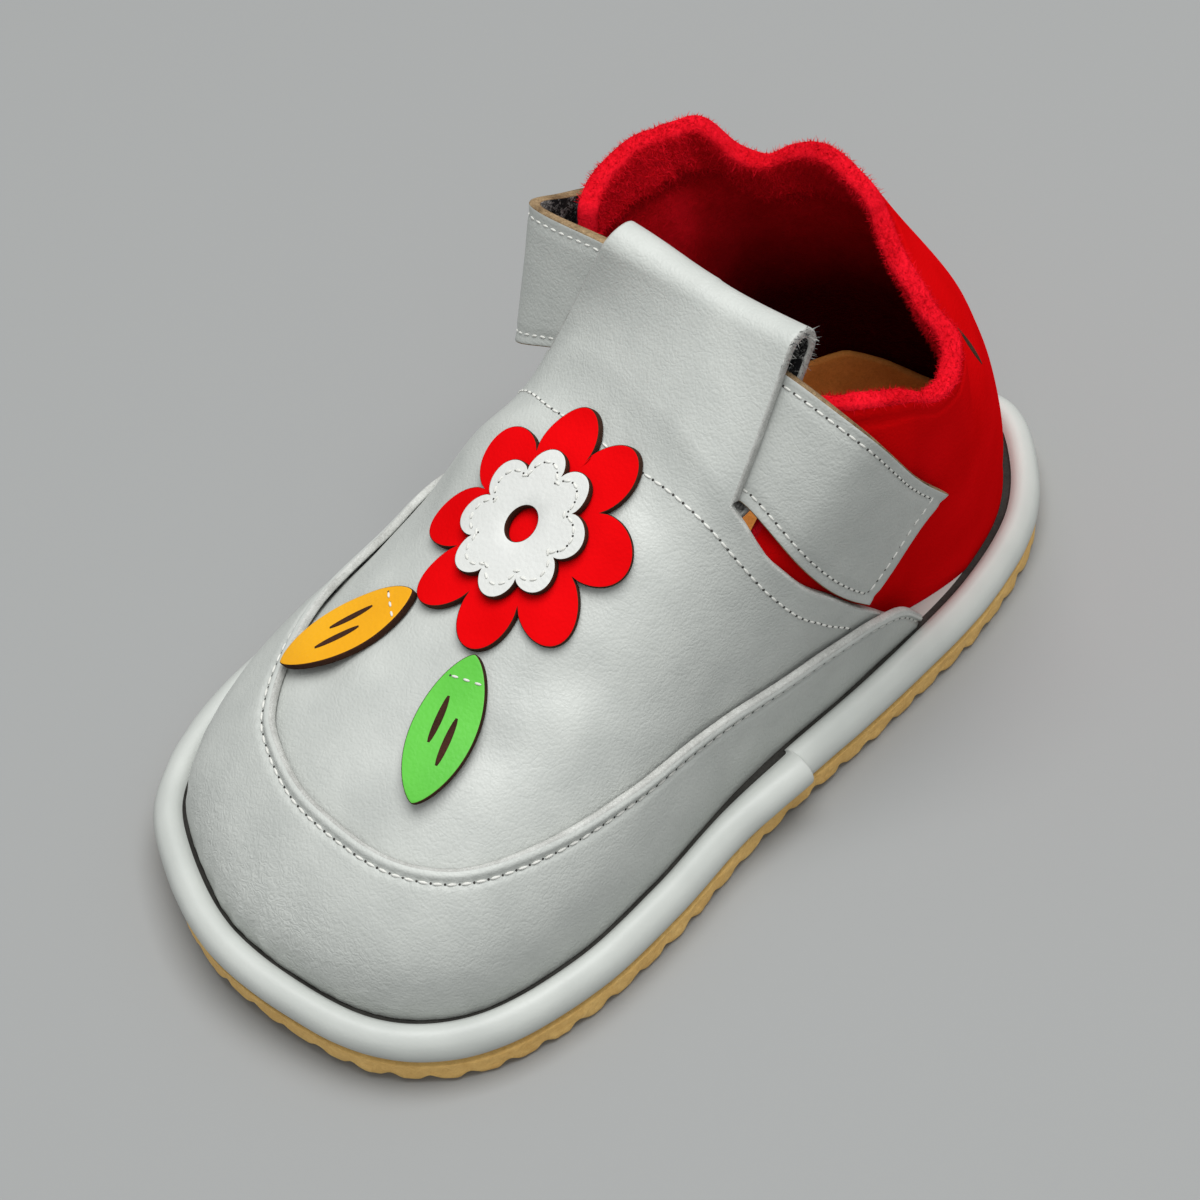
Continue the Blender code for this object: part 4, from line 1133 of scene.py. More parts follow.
heelQuarter = {
    "wall": 1.4,
    "hem": 2.9,  # the collar's casing, with a raw edge inside
    "hemFrom": 0.855,
    "hemStep": 0.028,
    "hemWave": 0.011,
    "hemWaves": (41, 1.3, 17),
    "hemRipple": (0.6, 97),
    "columns": 300,
    "rows": 72,
    "depth": ((0.0, 3.3), (36.0, 3.3), (48.0, 0.5), (76.0, 0.5)),  # y, depth under the last
    "front": (  # height, y of the front edge on the outer and the inner side
        (8.0, 3.0, 3.0),
        (30.0, 4.0, 3.5),
        (45.0, 8.0, 5.5),
        (56.0, 12.5, 14.0),
        (66.0, 16.0, 22.0),
        (76.0, 19.0, 25.5),
    ),
    "collar": (  # share of the way from the outer to the inner front, height, inward pull of the gathers
        (0.0, 67.5, -2.4),
        (0.05, 69.0, -2.2),
        (0.1, 69.8, -2.0),
        (0.18, 69.6, -1.0),
        (0.23, 70.2, 0.0),
        (0.26, 70.4, 0.0),
        (0.3, 66.4, 0.0),
        (0.335, 65.1, 0.0),
        (0.37, 66.0, -2.0),
        (0.43, 69.0, -1.9),
        (0.475, 68.5, 0.0),
        (0.54, 66.5, 2.3),
        (0.6, 64.0, 3.1),
        (0.66, 61.5, 1.7),
        (0.72, 59.3, -0.7),
        (0.78, 58.3, -0.4),
        (0.86, 60.3, 0.0),
        (0.9, 61.2, 0.9),
        (0.95, 62.3, 2.6),
        (1.0, 62.5, 5.3),
    ),
    "gatherFrom": 0.58,
    "ruffle": 0.22,
    "ruffleFolds": (62, 2.2, 19, 0.5, 27, 0.6),
    "ruffleFrom": (0.62, 0.3),  # level where it starts, and its run
    "ruffleEnds": 6,
    "hemIn": 2.2,  # thin line along the rim
    "hemDip": 0.3,
    "hemWidth": 0.4,
    "rimBulge": 0.9,
    "napped": 0.16,
    "nappedSizes": (0.9, 3.5),
    "uneven": 0.25,
    "unevenSize": 13.0,
    "slit": {"column": 185, "rows": (44, 56), "width": 1.4, "ends": (0.04, 0.96)},  # for the elastic
}


def makeHeel():
    s = heelQuarter
    up = (np.arange(s["rows"] + 1) / s["rows"])[:, None]
    way = (np.arange(s["columns"] + 1) / s["columns"])[None, :]
    height = lastShape["featherZ"] + up * (tableAt(s["collar"], way) - lastShape["featherZ"])
    lateral = shareAt(-1, tableAt(s["front"], height, 1))
    medial = shareAt(1, tableAt(s["front"], height, 2))
    shares = lateral + way * (medial - lateral)
    gather = eased((up - s["gatherFrom"]) / (1 - s["gatherFrom"]))
    flat = straightAt(s["depth"], edgeAt(shares, lastShape["featherInset"])[..., 1])
    depth = flat + gather * tableAt(s["collar"], way, 2)
    levels = levelAt(shares, height) * (up > 0)
    ripple, rippleRate = s["hemRipple"]
    wave = unevenFolds(way, *s["hemWaves"], 0, 0, 0) + ripple * np.sin(rippleRate * way)
    hemEdge = s["hemFrom"] + s["hemWave"] * wave
    wall = s["wall"] + (s["hem"] - s["wall"]) * eased((up - hemEdge) / s["hemStep"])
    outer, inner = skinAt(shares, levels, depth), skinAt(shares, levels, depth + wall)
    # small tucks of the gathered edge, and a soft unevenness everywhere
    low, run = s["ruffleFrom"]
    tucks = s["ruffle"] * unevenFolds(way, *s["ruffleFolds"]) * eased((up - low) / run)
    tucks = tucks * eased(s["ruffleEnds"] * way) * eased(s["ruffleEnds"] * (1 - way))
    fromRim = (1 - up) * (height[-1] - lastShape["featherZ"])
    hemLine = s["hemDip"] * np.exp(-(((fromRim - s["hemIn"]) / s["hemWidth"]) ** 2))
    sheet = Sheet()
    sheet.addGrid(outer - hemLine[..., None] * unit(outer - inner), inner)
    sheet.push(tucks.ravel() + rough(np.array(sheet.outer), s["unevenSize"], s["uneven"]))
    outside, inside = np.array(sheet.outer), np.array(sheet.inner)
    nap = sum(rough(inside, size, s["napped"]) for size in s["nappedSizes"])
    sheet.inner = list(inside - nap[:, None] * unit(outside - inside))
    # the lining gets painted shade towards the bottom, and the rim a brighter copy of the suede as painted
    # light
    skins = [looks["redLeather"], looks["redSuede"], looks["redSuedeLit"]]
    makeSheetPiece("heelQuarter", sheet, skins, "upper_heel", s["rimBulge"])
    return sheet.skins(outer.shape)


# a cut's opening is a dark strip: painted shade in the opening, with its dark cut edges
slitCut = {"proud": 0.05, "sunk": 0.15, "bulge": 0.02}  # dark strips that lie in a cut


def makeSlit():
    s = heelQuarter["slit"]
    rows, column = np.arange(*s["rows"]), s["column"]
    middle = heelOuter[rows, column]
    out = unit(middle - heelInner[rows, column])
    side = unit(heelOuter[rows, column + 1] - heelOuter[rows, column - 1])
    half = 0.5 * s["width"] * np.sin(math.pi * np.linspace(*s["ends"], len(rows)))[:, None]
    grid = np.stack([middle + k * half * side for k in (-1, 0, 1)], axis=1)
    sheet = Sheet()
    sheet.addGrid(grid + slitCut["proud"] * out[:, None], grid - slitCut["sunk"] * out[:, None])
    skins = [looks["scorchedEdge"]] * 3
    makeSheetPiece("quarterSlit", sheet, skins, None, slitCut["bulge"])


heelOuter, heelInner = makeHeel()
makeSlit()
makeInsole()


# Strap and its tape

strapLeather = {
    "medial": (  # y and height of its middle, half width, degrees from upright; it lies on the heel quarter
        (33.0, 30.5, 10.3, 51.0),
        (26.8, 38.0, 10.3, 50.0),
        (21.3, 46.5, 10.3, 44.0),
        (17.2, 53.5, 10.3, 37.0),
    ),
    "lateral": (  # the same, and the depth under the last
        (18.0, 54.0, 10.6, 10.0, -2.8),
        (27.0, 50.3, 10.2, 10.0, -2.2),
        (34.0, 47.5, 9.6, 10.0, -1.6),
        (38.5, 45.7, 8.0, 10.0, -1.6),
        (41.5, 44.5, 5.2, 10.0, -1.9),
        (43.0, 43.9, 2.4, 10.0, -2.2),
    ),
    "bendLow": (-29.5, 5.0, 47.5),  # where it turns back round the outer side
    "bendHigh": (-32.5, 12.0, 67.0),
    "bendInward": (0.7, 0.7, 0.0),
    "drop": (0.6, 3.4),  # of its upper edge below the fold, outer and inner side
    "tunnelColumns": (7, 18, 24),  # first and last of the vamp's columns, and their number
    "steps": 2,
    "bridge": 5,
    "across": 4,
    "wall": 1.6,
    "width": 20.6,
    "slack": 0.6,
    "smoothAlong": 6,
    "smoothAcross": 9,
    "easeRounds": 60,
    "seamIn": 1.5,
    "seamDip": 0.2,
    "seamWidth": 0.6,
    "seamRows": (5, -4),
    "endSeam": 4,
    "uneven": 0.15,
    "unevenSize": 9.0,
    "rim": 0.2,
}
hookTape = {"wall": 1.2, "share": 0.9, "stations": (0, 8), "smooth": (5, 6)}


def strapStations(side, rows, sink):
    s = strapLeather
    table = splineThrough(rows, s["steps"])
    reach = np.linspace(-1, 1, s["across"] + 1) * table[:, 2:3]
    tilt = np.radians(table[:, 3:4])
    y = table[:, 0:1] + reach * np.sin(tilt)
    onQuarter = straightAt(heelQuarter["depth"], y) - gap - s["wall"]
    depth = table[:, 4:5] + 0 * y if table.shape[1] > 4 else onQuarter
    return wallAt(side, y, table[:, 1:2] + reach * np.cos(tilt), depth + sink)


def tunnelStations(sink):
    s, v = strapLeather, vampLeather
    first, last, number = s["tunnelColumns"]
    column = np.arange(first, last) / number
    y = v["throatY"][0] + (v["throatY"][1] - v["throatY"][0]) * column
    shares = np.where(column <= 0.5, shareAt(-1, y), shareAt(1, y))
    _, folds, up, out = tongueFrames(skinAt(shares, 2 * np.minimum(column, 1 - column), v["depth"]))
    under = folds - (v["wall"] + s["slack"] + sink) * out
    drops = np.linspace(s["slack"] + s["width"], np.linspace(*s["drop"], len(column)), s["across"] + 1).T
    return (under[:, None, :] - drops[:, :, None] * up[:, None, :])[::-1]


def bendStation(sink):
    low, high, inward = (np.array(strapLeather[key]) for key in ("bendLow", "bendHigh", "bendInward"))
    return low + np.linspace(0, 1, strapLeather["across"] + 1)[:, None] * (high - low) + sink * inward


def bridged(first, second, *between):
    steps = strapLeather["bridge"]
    span = splineThrough([first[-2], first[-1], *between, second[0], second[1]], steps)
    return np.concatenate([first, span[steps + 1 : -steps - 1], second])


def smoothGrid(stations, along, across):
    grid = splineThrough(stations, along)
    return splineThrough(grid.transpose(1, 0, 2), across).transpose(1, 0, 2)


def makeStrap():
    s = strapLeather
    skins = []
    for sink in (0.0, s["wall"]):
        medial = strapStations(1, s["medial"], sink)
        lateral = strapStations(-1, s["lateral"], sink)
        stations = bridged(bridged(medial, tunnelStations(sink)), lateral, bendStation(sink))
        grid = smoothGrid(stations, s["smoothAlong"], s["smoothAcross"])
        for _ in range(s["easeRounds"]):
            grid[1:-1] = 0.25 * grid[:-2] + 0.5 * grid[1:-1] + 0.25 * grid[2:]
        skins.append(grid)
    outer, inner = skins
    run = np.linalg.norm(np.diff(outer, axis=1), axis=2)
    fromLow = np.concatenate([np.zeros((len(outer), 1)), run.cumsum(axis=1)], axis=1)
    fromEdge = np.minimum(fromLow, fromLow[:, -1:] - fromLow)
    heights = -s["seamDip"] * np.exp(-(((fromEdge - s["seamIn"]) / s["seamWidth"]) ** 2))
    sheet = Sheet()
    sheet.addGrid(outer, inner)
    sheet.push(heights.ravel() + rough(np.array(sheet.outer), s["unevenSize"], s["uneven"]))
    faces = [looks["greyLeather"], looks["greyFlesh"], looks["tanCut"]]
    makeSheetPiece("strapLeather", sheet, faces, "strap", s["rim"])
    return *sheet.skins(outer.shape), fromLow


def makeTape():
    s, t = strapLeather, hookTape
    rows = [(y, z, t["share"] * half, lean, depth) for y, z, half, lean, depth in s["lateral"]]
    skins = []
    for sink in (s["wall"] + gap, s["wall"] + gap + t["wall"]):
        skins.append(smoothGrid(strapStations(-1, rows, sink)[slice(*t["stations"])], *t["smooth"]))
    sheet = Sheet()
    sheet.addGrid(*skins)
    makeSheetPiece("hookTape", sheet, [looks["darkTape"]] * 3, "closure_tape")


strapOuter, strapInner, strapFromLow = makeStrap()
makeTape()


# Applique: a flower and two leaves cut from leather

flowerCut = {
    "at": (2.0, -14.5),
    "wall": 1.2,
    "petals": 8,
    "petalReach": (10.0, 16.0),
    "roundness": 0.7,
    "discReach": (7.0, 9.5),
    "discHole": 2.4,
    "spokes": 240,
    "rings": (1.0, 0.985, 0.94, 0.86, 0.74, 0.6, 0.45, 0.3, 0.15),
    "discSeam": 0.83,
    "rim": 0.15,
}
leafCut = {
    "length": 19.0,
    "width": 9.0,
    "point": 0.4,
    "gap": 0.6,
    "spokes": 96,
    "headings": {"leaf_yellow": 243.0, "leaf_green": 297.0},  # degrees from +x
    "rings": (1.0, 0.97, 0.9, 0.78, 0.62, 0.45, 0.28, 0.12),
    "tipLift": 1.1,
    "slits": ((-0.13, 0.3, 0.62), (0.13, 0.42, 0.74)),  # aside, from and to, as shares of the leaf
    "slitWidth": 1.0,
    "slitSteps": 11,
    "slitEnds": (0.03, 0.94),
    "seamAt": 0.17,
    "seamAside": 0.24,
    "seamPoints": 9,
    "seamStep": 0.25,
    "liftFrom": 0.35,
}
cutStitch = {"pitch": 1.5, "length": 1.05, "width": 0.38, "hole": 0.34}


def onVamp(plan, depth):
    plan = np.asarray(plan, float)
    share, level = spotOnVamp(plan[..., 0], plan[..., 1])
    return skinAt(share, level, depth)


def cutRings(layer, rings, middle, lift=None):
    # a sheet from closed rings of plan points, from its edge inwards, with or without a middle point
    lowest = vampLeather["depth"] - gap - layer * (flowerCut["wall"] + gap)
    sheet = Sheet()
    rows = []
    for ringPoints in rings:
        raised = lowest - (lift(ringPoints) if lift else 0.0)
        rows.append(sheet.addRow(onVamp(ringPoints, raised - flowerCut["wall"]), onVamp(ringPoints, raised)))
    if middle is not None:
        raised = lowest - (lift(np.array([middle])) if lift else 0.0)
        centre = sheet.addRow(onVamp([middle], raised - flowerCut["wall"]), onVamp([middle], raised))
        rows.append(centre * len(rows[0]))
    for first, second in zip(rows, rows[1:]):
        sheet.join([*first, first[0]], [*second, second[0]])
    return sheet


def petalRing(reach, scale, hole=0.0):
    s = flowerCut
    turns = np.arange(s["spokes"]) * 2 * math.pi / s["spokes"]
    swell = np.abs(np.sin(s["petals"] * turns / 2)) ** s["roundness"]
    radius = hole + scale * (reach[0] + (reach[1] - reach[0]) * swell - hole)
    return np.array(s["at"]) + radius[:, None] * np.stack([np.cos(turns), np.sin(turns)], axis=1)


def leafPlan(degrees, ahead, aside):
    heading = math.radians(degrees)
    away = flowerCut["petalReach"][1] + leafCut["gap"] + ahead
    x = flowerCut["at"][0] + away * math.cos(heading) - aside * math.sin(heading)
    y = flowerCut["at"][1] + away * math.sin(heading) + aside * math.cos(heading)
    return np.stack([x, y], axis=-1)


def leafRing(degrees, scale):
    s = leafCut
    turns = np.arange(s["spokes"]) * 2 * math.pi / s["spokes"]
    ahead = 0.5 * s["length"] * (1 + scale * np.cos(turns))
    aside = 0.5 * s["width"] * scale * np.sin(turns) * np.abs(np.sin(turns)) ** s["point"]
    return leafPlan(degrees, ahead, aside)


def cutTop(layer):
    # depth of a cut piece's upper side, under the last
    return vampLeather["depth"] - (layer + 1) * (gap + flowerCut["wall"])


def makeLeafSlits(node, degrees, lift):
    s = leafCut
    across = np.array([-1.0, 0.0, 1.0])
    sheet = Sheet()
    for aside, first, last in s["slits"]:
        part = np.linspace(0, 1, s["slitSteps"])[:, None]
        end, middle = s["slitEnds"]
        half = 0.5 * s["slitWidth"] * np.sqrt(np.sin(math.pi * (end + middle * part)))
        ahead = s["length"] * (first + part * (last - first)) + 0 * across
        plan = leafPlan(degrees, ahead, s["width"] * aside + half * across)
        top = cutTop(0) - lift(plan.reshape(-1, 2)).reshape(ahead.shape)
        sheet.addGrid(onVamp(plan, top - slitCut["proud"]), onVamp(plan, top + slitCut["sunk"]))
    name = node.replace("_", "") + "Slits"
    # the slits are dark strips: painted shade in each cut, with its dark cut edges
    makeSheetPiece(name, sheet, [looks["scorchedEdge"]] * 3, None, slitCut["bulge"])


def cutSeams():
    # stitches round the flower's middle and across the top of each leaf
    s = leafCut
    around = petalRing(flowerCut["discReach"], flowerCut["discSeam"])
    plans = [(np.concatenate([around, around[:1]]), cutTop(1))]
    for degrees in s["headings"].values():
        aside = np.linspace(-s["seamAside"], s["seamAside"], s["seamPoints"]) * s["width"]
        plans.append((leafPlan(degrees, s["seamAt"] * s["length"] + 0 * aside, aside), cutTop(0)))
    lines = []
    for plan, depth in plans:
        share, level = spotOnVamp(plan[:, 0], plan[:, 1])
        lines.append(evenLine(skinAt(share, level, depth), outwardAt(share, level), s["seamStep"]))
    return lines


def makeApplique():
    s = flowerCut
    petals = cutRings(0, [petalRing(s["petalReach"], scale) for scale in s["rings"]], s["at"])
    edges = [looks["scorchedEdge"]] * 2
    skins = [looks["redLeather"], *edges]
    makeSheetPiece("flowerPetals", petals, skins, "flower_petals", s["rim"])
    scales = (*s["rings"][:-1], 0.0)
    disc = cutRings(1, [petalRing(s["discReach"], scale, s["discHole"]) for scale in scales], None)
    skins = [looks["whiteLeather"], *edges]
    makeSheetPiece("flowerDisc", disc, skins, "flower_disc", s["rim"])
    for node, look, slot in (
        ("leaf_yellow", "yellowLeather", "yellow_leather"),
        ("leaf_green", "greenLeather", "green_leather"),
    ):
        degrees = leafCut["headings"][node]
        base = leafPlan(degrees, 0.0, 0.0)

        def lift(points):
            far = np.linalg.norm(points - base, axis=1) / leafCut["length"]
            return leafCut["tipLift"] * eased((far - leafCut["liftFrom"]) / (1 - leafCut["liftFrom"]))

        makeLeafSlits(node, degrees, lift)
        middle = leafPlan(degrees, 0.5 * leafCut["length"], 0.0)
        leaf = cutRings(0, [leafRing(degrees, scale) for scale in leafCut["rings"]], middle, lift)
        name = node.replace("_", "") + "Cut"
        makeSheetPiece(name, leaf, [looks[look], *edges], node, s["rim"])


makeApplique()


# Stitches, by Geometry Nodes

stitchRun = {
    "pitch": 1.95,
    "length": 1.4,
    "width": 0.42,
    "lift": 0.05,
    "hole": 0.42,
    "sway": 5.0,  # degrees
    "seed": 7,
}


def newTree(name, labels, materials):
    # an empty Geometry Nodes tree with named sizes, a seed and materials
    tree = bpy.data.node_groups.new(name, "GeometryNodeTree")
    tree.is_modifier = True
    kinds = [("Geometry", "Geometry"), *((label, "Float") for label in labels), ("Seed", "Int")]
    for label, kind in (*kinds, *((label, "Material") for label in materials)):
        tree.interface.new_socket(label, in_out="INPUT", socket_type="NodeSocket" + kind)
    tree.interface.new_socket("Geometry", in_out="OUTPUT", socket_type="NodeSocketGeometry")
    return tree, tree.nodes.new("NodeGroupInput").outputs, tree.nodes.new("NodeGroupOutput").inputs[0]


def combined(tree, x, y, z):
    return addNode(tree, "ShaderNodeCombineXYZ", {"X": x, "Y": y, "Z": z}).outputs[0]


def realCopies(tree, copies, look):
    copied = addNode(tree, "GeometryNodeInstanceOnPoints", copies).outputs[0]
    real = addNode(tree, "GeometryNodeRealizeInstances", {"Geometry": copied}).outputs[0]
    return addNode(tree, "GeometryNodeSetMaterial", {"Geometry": real, "Material": look}).outputs[0]


beadShape = {"threadSegments": 10, "threadHeight": 0.8, "holeSegments": 8, "holeHeight": 0.3}


def makeStitchTree():
    # stitches along each line of edges, and a dark bead between them: painted shade of a needle hole
    tree, value, result = newTree(
        "stitchRun", ("Pitch", "Length", "Width", "Lift", "Hole", "Sway"), ("Thread", "Needle Hole")
    )
    link = tree.links.new
    line = addNode(tree, "GeometryNodeMeshToCurve", {"Mesh": value["Geometry"]}).outputs[0]
    halfPitch = doMath(tree, "MULTIPLY", value["Pitch"], 0.5)
    length = addNode(tree, "GeometryNodeCurveLength", {"Curve": line}).outputs[0]
    later = addNode(tree, "GeometryNodeTrimCurve", {"Curve": line}, {"mode": "LENGTH"})
    link(halfPitch, later.inputs[4])
    link(doMath(tree, "SUBTRACT", length, halfPitch), later.inputs[5])
    vectors = {"data_type": "FLOAT_VECTOR"}
    named = addNode(tree, "GeometryNodeInputNamedAttribute", {"Name": "outward"}, vectors)
    outward = named.outputs["Attribute"]
    tangent = tree.nodes.new("GeometryNodeInputTangent").outputs[0]
    along = addNode(tree, "FunctionNodeAlignRotationToVector", {"Vector": tangent}, {"axis": "X"})
    faced = {"Rotation": along.outputs[0], "Vector": outward}
    upright = {"axis": "Z", "pivot_axis": "X"}
    facing = addNode(tree, "FunctionNodeAlignRotationToVector", faced, upright).outputs[0]
    sway = addNode(tree, "FunctionNodeRandomValue", {"Seed": value["Seed"]}, {"data_type": "FLOAT"})
    link(doMath(tree, "MULTIPLY", value["Sway"], -1.0), sway.inputs[2])
    link(value["Sway"], sway.inputs[3])
    turn = combined(tree, 0.0, 0.0, doMath(tree, "RADIANS", sway.outputs[1]))
    swayed = {"Rotation": facing}
    swayed["Rotate By"] = addNode(tree, "FunctionNodeEulerToRotation", {"Euler": turn}).outputs[0]
    turned = addNode(tree, "FunctionNodeRotateRotation", swayed, {"rotation_space": "LOCAL"}).outputs[0]

    def bead(segments, x, y, z):
        ball = addNode(tree, "GeometryNodeMeshUVSphere", {"Segments": segments, "Rings": 6, "Radius": 0.5})
        sized = {"Geometry": ball.outputs["Mesh"], "Scale": combined(tree, x, y, z)}
        shaped = addNode(tree, "GeometryNodeTransform", sized)
        return addNode(tree, "GeometryNodeSetShadeSmooth", {"Geometry": shaped.outputs[0]}).outputs[0]

    def placed(curve, lift, mesh, rotation, look):
        spacing = {"Curve": curve, "Length": value["Pitch"]}
        spaced = addNode(tree, "GeometryNodeResampleCurve", spacing, {"mode": "LENGTH"}).outputs[0]
        away = {"Vector": outward, "Scale": lift}
        raised = addNode(tree, "ShaderNodeVectorMath", away, {"operation": "SCALE"})
        moved = addNode(tree, "GeometryNodeSetPosition", {"Geometry": spaced, "Offset": raised.outputs[0]})
        copies = {"Points": moved.outputs[0], "Instance": mesh, "Rotation": rotation}
        return realCopies(tree, copies, look)

    threadHeight = doMath(tree, "MULTIPLY", value["Width"], beadShape["threadHeight"])
    stitch = bead(beadShape["threadSegments"], value["Length"], value["Width"], threadHeight)
    holeHeight = doMath(tree, "MULTIPLY", value["Hole"], beadShape["holeHeight"])
    hole = bead(beadShape["holeSegments"], value["Hole"], value["Hole"], holeHeight)
    both = tree.nodes.new("GeometryNodeJoinGeometry")
    link(placed(later.outputs[0], value["Lift"], stitch, turned, value["Thread"]), both.inputs[0])
    link(placed(line, 0.0, hole, facing, value["Needle Hole"]), both.inputs[0])
    link(both.outputs[0], result)
    return tree


stitchTree = makeStitchTree()


def setInputs(modifier, values):
    for item in modifier.node_group.interface.items_tree:
        if item.in_out == "INPUT" and item.name in values:
            modifier[item.identifier] = values[item.name]


def bakeModifier(piece):
    graph = bpy.context.evaluated_depsgraph_get()
    mesh = bpy.data.meshes.new_from_object(piece.evaluated_get(graph))
    piece.modifiers.clear()
    piece.data = mesh
    mesh.name = piece.name


def makeStitches(name, lines, slot, **changes):
    # every line is points and the way out at each of them
    s = {**stitchRun, **changes}
    points, edges, away = [], [], []
    for line, out in lines:
        start = len(points)
        points += list((line + shoeShift) * mm)
        away += list(out)
        edges += [(start + k, start + k + 1) for k in range(len(line) - 1)]
    mesh = bpy.data.meshes.new(name)
    mesh.from_pydata([tuple(p) for p in points], edges, [])
    mesh.attributes.new("outward", "FLOAT_VECTOR", "POINT").data.foreach_set("vector", np.array(away).ravel())
    piece = addPiece(name, mesh)
    modifier = piece.modifiers.new("stitchRun", "NODES")
    modifier.node_group = stitchTree
    values = {label: s[label.lower()] * mm for label in ("Pitch", "Length", "Width", "Lift", "Hole")}
    values.update({"Sway": s["sway"], "Seed": s["seed"]})
    values.update({"Thread": looks["thread"], "Needle Hole": looks["needleHole"]})
    setInputs(modifier, values)
    bakeModifier(piece)
    fitPiece(piece)


def evenLine(line, away, step=0.5):
    # the same line with points evenly spaced
    walked = walkedAlong(line)
    at = np.arange(0, walked[-1], step)
    points, out = (np.stack([np.interp(at, walked, column) for column in v.T], axis=1) for v in (line, away))
    return points, unit(out)


def vampLine(shares, levels):
    # a seam on the outside of the vamp
    line, out = skinAt(shares, levels, vampLeather["depth"]), outwardAt(shares, levels)
    return evenLine(line + out * vampRelief(line)[:, None], out)


throatSeam = {  # y and level on the last, from the outer wing up over the ridge and down the inner wing
    "outer": (
        (22.0, 0.025),
        (13.0, 0.08),
        (7.5, 0.17),
        (2.5, 0.33),
        (0.2, 0.47),
        (-1.4, 0.68),
        (-2.2, 0.84),
        (-1.4, 1.0),
    ),
    "inner": (
        (-1.4, 1.0),
        (-0.4, 0.875),
        (2.4, 0.575),
        (4.3, 0.417),
        (7.1, 0.273),
        (11.3, 0.15),
        (16.5, 0.07),
        (21.5, 0.033),
    ),
    "steps": 14,
}


def seamAcross():
    # along both edges of the throat, and across the vamp below the strap
    shares, levels = [], []
    for side, key in ((-1, "outer"), (1, "inner")):
        path = splineThrough(throatSeam[key], throatSeam["steps"])
        shares.append(shareAt(side, path[:, 0]))
        levels.append(path[:, 1])
    return vampLine(np.concatenate(shares), np.clip(np.concatenate(levels), 0, 1))


def strapSeams():
    s = strapLeather
    away = unit(strapOuter - strapInner)
    rows, end = slice(*s["seamRows"]), s["endSeam"]
    lines = []
    for high in (False, True):
        line, out = [], []
        for row, back, far in zip(strapOuter[rows], away[rows], strapFromLow[rows]):
            at = far[-1] - s["seamIn"] if high else s["seamIn"]
            line.append([np.interp(at, far, row[:, k]) for k in range(3)])
            out.append([np.interp(at, far, back[:, k]) for k in range(3)])
        lines.append(evenLine(np.array(line), np.array(out)))
    lines.append(evenLine(strapOuter[end, end:-end], away[end, end:-end]))
    return lines


makeStitches("cutStitches", cutSeams(), "white_leather", **cutStitch)
makeStitches("panelStitches", [evenLine(*panelSeam)], "grey_leather")
makeStitches("throatStitches", [seamAcross()], "grey_leather", pitch=1.75, length=1.25, width=0.38)
makeStitches("strapStitches", strapSeams(), "grey_leather", pitch=1.75, length=1.2, width=0.36, lift=0.03)


# Loose fibres on raw edges, by Geometry Nodes

# density in fibres a square millimetre, spread in radians
fibreScales = (0.4, 1.3)
collarNap = {"density": 11.0, "length": 0.85, "width": 0.11, "spread": 1.1, "seed": 3, "rows": 13, "round": 9}
tongueNap = {"density": 9.0, "length": 0.9, "width": 0.1, "spread": 1.2, "seed": 5}


def makeNapTree():
    tree, value, result = newTree("edgeNap", ("Density", "Length", "Width", "Spread"), ("Fibre",))
    spread = {"Mesh": value["Geometry"], "Density": value["Density"], "Seed": value["Seed"]}
    spots = addNode(tree, "GeometryNodeDistributePointsOnFaces", spread)
    shape = {"Vertices": 3, "Radius Top": 0.0, "Depth": value["Length"]}
    shape["Radius Bottom"] = doMath(tree, "MULTIPLY", value["Width"], 0.5)
    cone = addNode(tree, "GeometryNodeMeshCone", shape, {"fill_type": "NONE"}).outputs["Mesh"]
    bend = addNode(tree, "FunctionNodeRandomValue", {"Seed": value["Seed"]}, {"data_type": "FLOAT_VECTOR"})
    less = doMath(tree, "MULTIPLY", value["Spread"], -1.0)
    tree.links.new(combined(tree, less, less, -math.pi), bend.inputs[0])
    tree.links.new(combined(tree, value["Spread"], value["Spread"], math.pi), bend.inputs[1])
    lean = {"Rotation": spots.outputs["Rotation"]}
    lean["Rotate By"] = addNode(tree, "FunctionNodeEulerToRotation", {"Euler": bend.outputs[0]}).outputs[0]
    turned = addNode(tree, "FunctionNodeRotateRotation", lean, {"rotation_space": "LOCAL"}).outputs[0]
    size = addNode(tree, "FunctionNodeRandomValue", {"Seed": value["Seed"]}, {"data_type": "FLOAT"})
    size.inputs[2].default_value, size.inputs[3].default_value = fibreScales
    copies = {"Points": spots.outputs["Points"], "Instance": cone, "Rotation": turned}
    copies["Scale"] = size.outputs[1]
    tree.links.new(realCopies(tree, copies, value["Fibre"]), result)
    return tree


napTree = makeNapTree()


def makeNap(name, s, band, look):
    # fibres stand on the band's faces: rows of points, facing out where the rows run up and the columns left
    rows, columns = band.shape[:2]
    index = np.arange(rows * columns).reshape(rows, columns)
    corners = (index[1:, :-1], index[1:, 1:], index[:-1, 1:], index[:-1, :-1])
    faces = np.stack(corners, axis=-1).reshape(-1, 4)
    mesh = bpy.data.meshes.new(name)
    mesh.from_pydata(((band.reshape(-1, 3) + shoeShift) * mm).tolist(), [], faces.tolist())
    piece = addPiece(name, mesh)
    modifier = piece.modifiers.new(name, "NODES")
    modifier.node_group = napTree
    values = {"Density": s["density"] / mm**2, "Length": s["length"] * mm, "Width": s["width"] * mm}
    setInputs(modifier, {**values, "Spread": s["spread"], "Seed": s["seed"], "Fibre": looks[look]})
    bakeModifier(piece)
    fitPiece(piece)


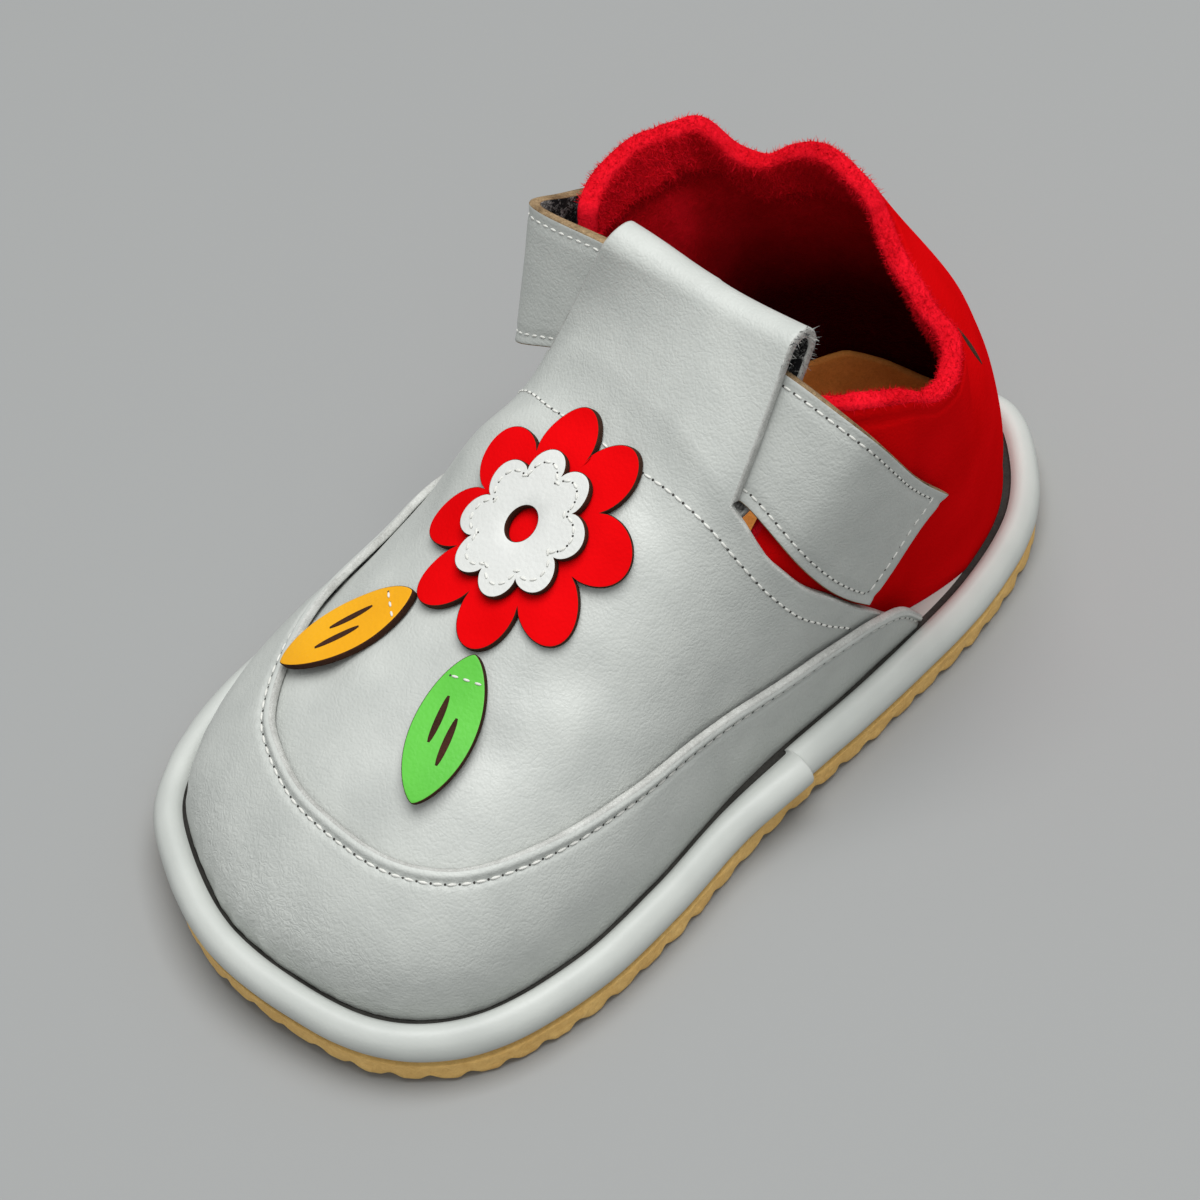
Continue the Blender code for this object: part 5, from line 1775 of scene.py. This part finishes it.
def collarRim():
    # the round of the rim, and the casing below it on the inside
    middle, half = 0.5 * (heelOuter[-1] + heelInner[-1]), 0.5 * (heelOuter[-1] - heelInner[-1])
    rise = heelQuarter["rimBulge"] * unit(heelOuter[-1] - heelOuter[-2])
    turns = np.linspace(math.pi, 0, collarNap["round"])
    rim = [middle + math.cos(turn) * half + math.sin(turn) ** rimPower * rise for turn in turns]
    return np.concatenate([heelInner[-collarNap["rows"] : -1], np.array(rim)])[::-1]


# the fibres on the rim use the brighter copy of the red suede, painted light
makeNap("collarNap", collarNap, collarRim(), "redSuedeLit")
makeNap("tongueNapDark", tongueNap, tongueEdge, "darkTape")
makeNap("tongueNapPale", {**tongueNap, "seed": 6}, tongueEdge, "paleFibre")


# Floor, lights and camera

stage = {
    "floor": 4.0,
    "floorColour": (0.304, 0.31, 0.308),
    "floorRoughness": 0.85,
    "floorSpecular": 0.2,
    "world": (0.9, 0.92, 0.93),
    "worldStrength": 0.38,
    "keyFrom": (0.03, 0.1, 1.3),
    "keySize": 0.95,
    "keyPower": 19.0,
    "fillFrom": (0.55, -0.3, 0.8),
    "fillSize": 0.5,
    "fillPower": 1.0,
    "lightsAt": (0, 0, 0.03),
}
photoCamera = {  # where the photo was taken from, in millimetres round the shoe
    "pitch": 54.79,
    "turn": 50.09,
    "distance": 442.9,
    "target": (-41.9, 23.5),  # the shoe's origin in the photo's turned plan
    "focal": 1877.7,  # in pixels of the photo
    "frame": 1200.0,
    "aim": (408.0, 466.0),  # pixel of the photo at the middle of the picture
    "zoom": 1.66,
    "sensor": 36.0,
    "nearest": 0.01,  # metres
}


def makeFloor():
    size = stage["floor"]
    mesh = bpy.data.meshes.new("floor")
    corners = [(-size, -size, 0), (size, -size, 0), (size, size, 0), (-size, size, 0)]
    mesh.from_pydata(corners, [], [(0, 1, 2, 3)])
    paint = bpy.data.materials.new("floorPaint")
    paint.use_nodes = True
    shader = paint.node_tree.nodes["Principled BSDF"]
    shader.inputs["Base Color"].default_value = (*stage["floorColour"], 1)
    shader.inputs["Roughness"].default_value = stage["floorRoughness"]
    shader.inputs["Specular IOR Level"].default_value = stage["floorSpecular"]
    mesh.materials.append(paint)
    addPiece("floor", mesh)


def makeLight(name, place, size, power):
    lamp = bpy.data.lights.new(name, "AREA")
    lamp.size = size
    lamp.energy = power
    light = addPiece(name, lamp)
    light.location = place
    light.rotation_euler = (Vector(stage["lightsAt"]) - Vector(place)).to_track_quat("-Z", "Y").to_euler()


def makeCamera():
    s = photoCamera
    pitch = math.radians(s["pitch"])
    ahead = Vector((0, math.cos(pitch), -math.sin(pitch)))
    right = Vector((1, 0, 0))
    spin = Matrix.Rotation(math.radians(s["turn"]), 3, "Z")
    place = spin @ (-ahead * s["distance"] - Vector((*s["target"], 0)))
    ahead, right = spin @ ahead, spin @ right
    up = right.cross(ahead)
    across, down = (value - 0.5 * s["frame"] for value in s["aim"])
    ahead = (ahead * s["focal"] + right * across - up * down).normalized()
    right = (right - right.dot(ahead) * ahead).normalized()
    up = right.cross(ahead)
    lens = bpy.data.cameras.new("camera")
    lens.sensor_width = s["sensor"]
    lens.lens = s["zoom"] * s["focal"] / s["frame"] * lens.sensor_width
    lens.clip_start = s["nearest"]
    camera = addPiece("camera", lens)
    turned = Matrix((right, up, -ahead)).transposed().to_4x4()
    turned.translation = (place + Vector(shoeShift)) * mm
    camera.matrix_world = turned
    bpy.context.scene.camera = camera


makeFloor()
makeLight("key", stage["keyFrom"], stage["keySize"], stage["keyPower"])
makeLight("fill", stage["fillFrom"], stage["fillSize"], stage["fillPower"])
makeCamera()
sky = bpy.data.worlds.new("sky")
sky.use_nodes = True
sky.node_tree.nodes["Background"].inputs["Color"].default_value = (*stage["world"], 1)
sky.node_tree.nodes["Background"].inputs["Strength"].default_value = stage["worldStrength"]
bpy.context.scene.world = sky
bpy.context.scene.view_settings.view_transform = "Standard"
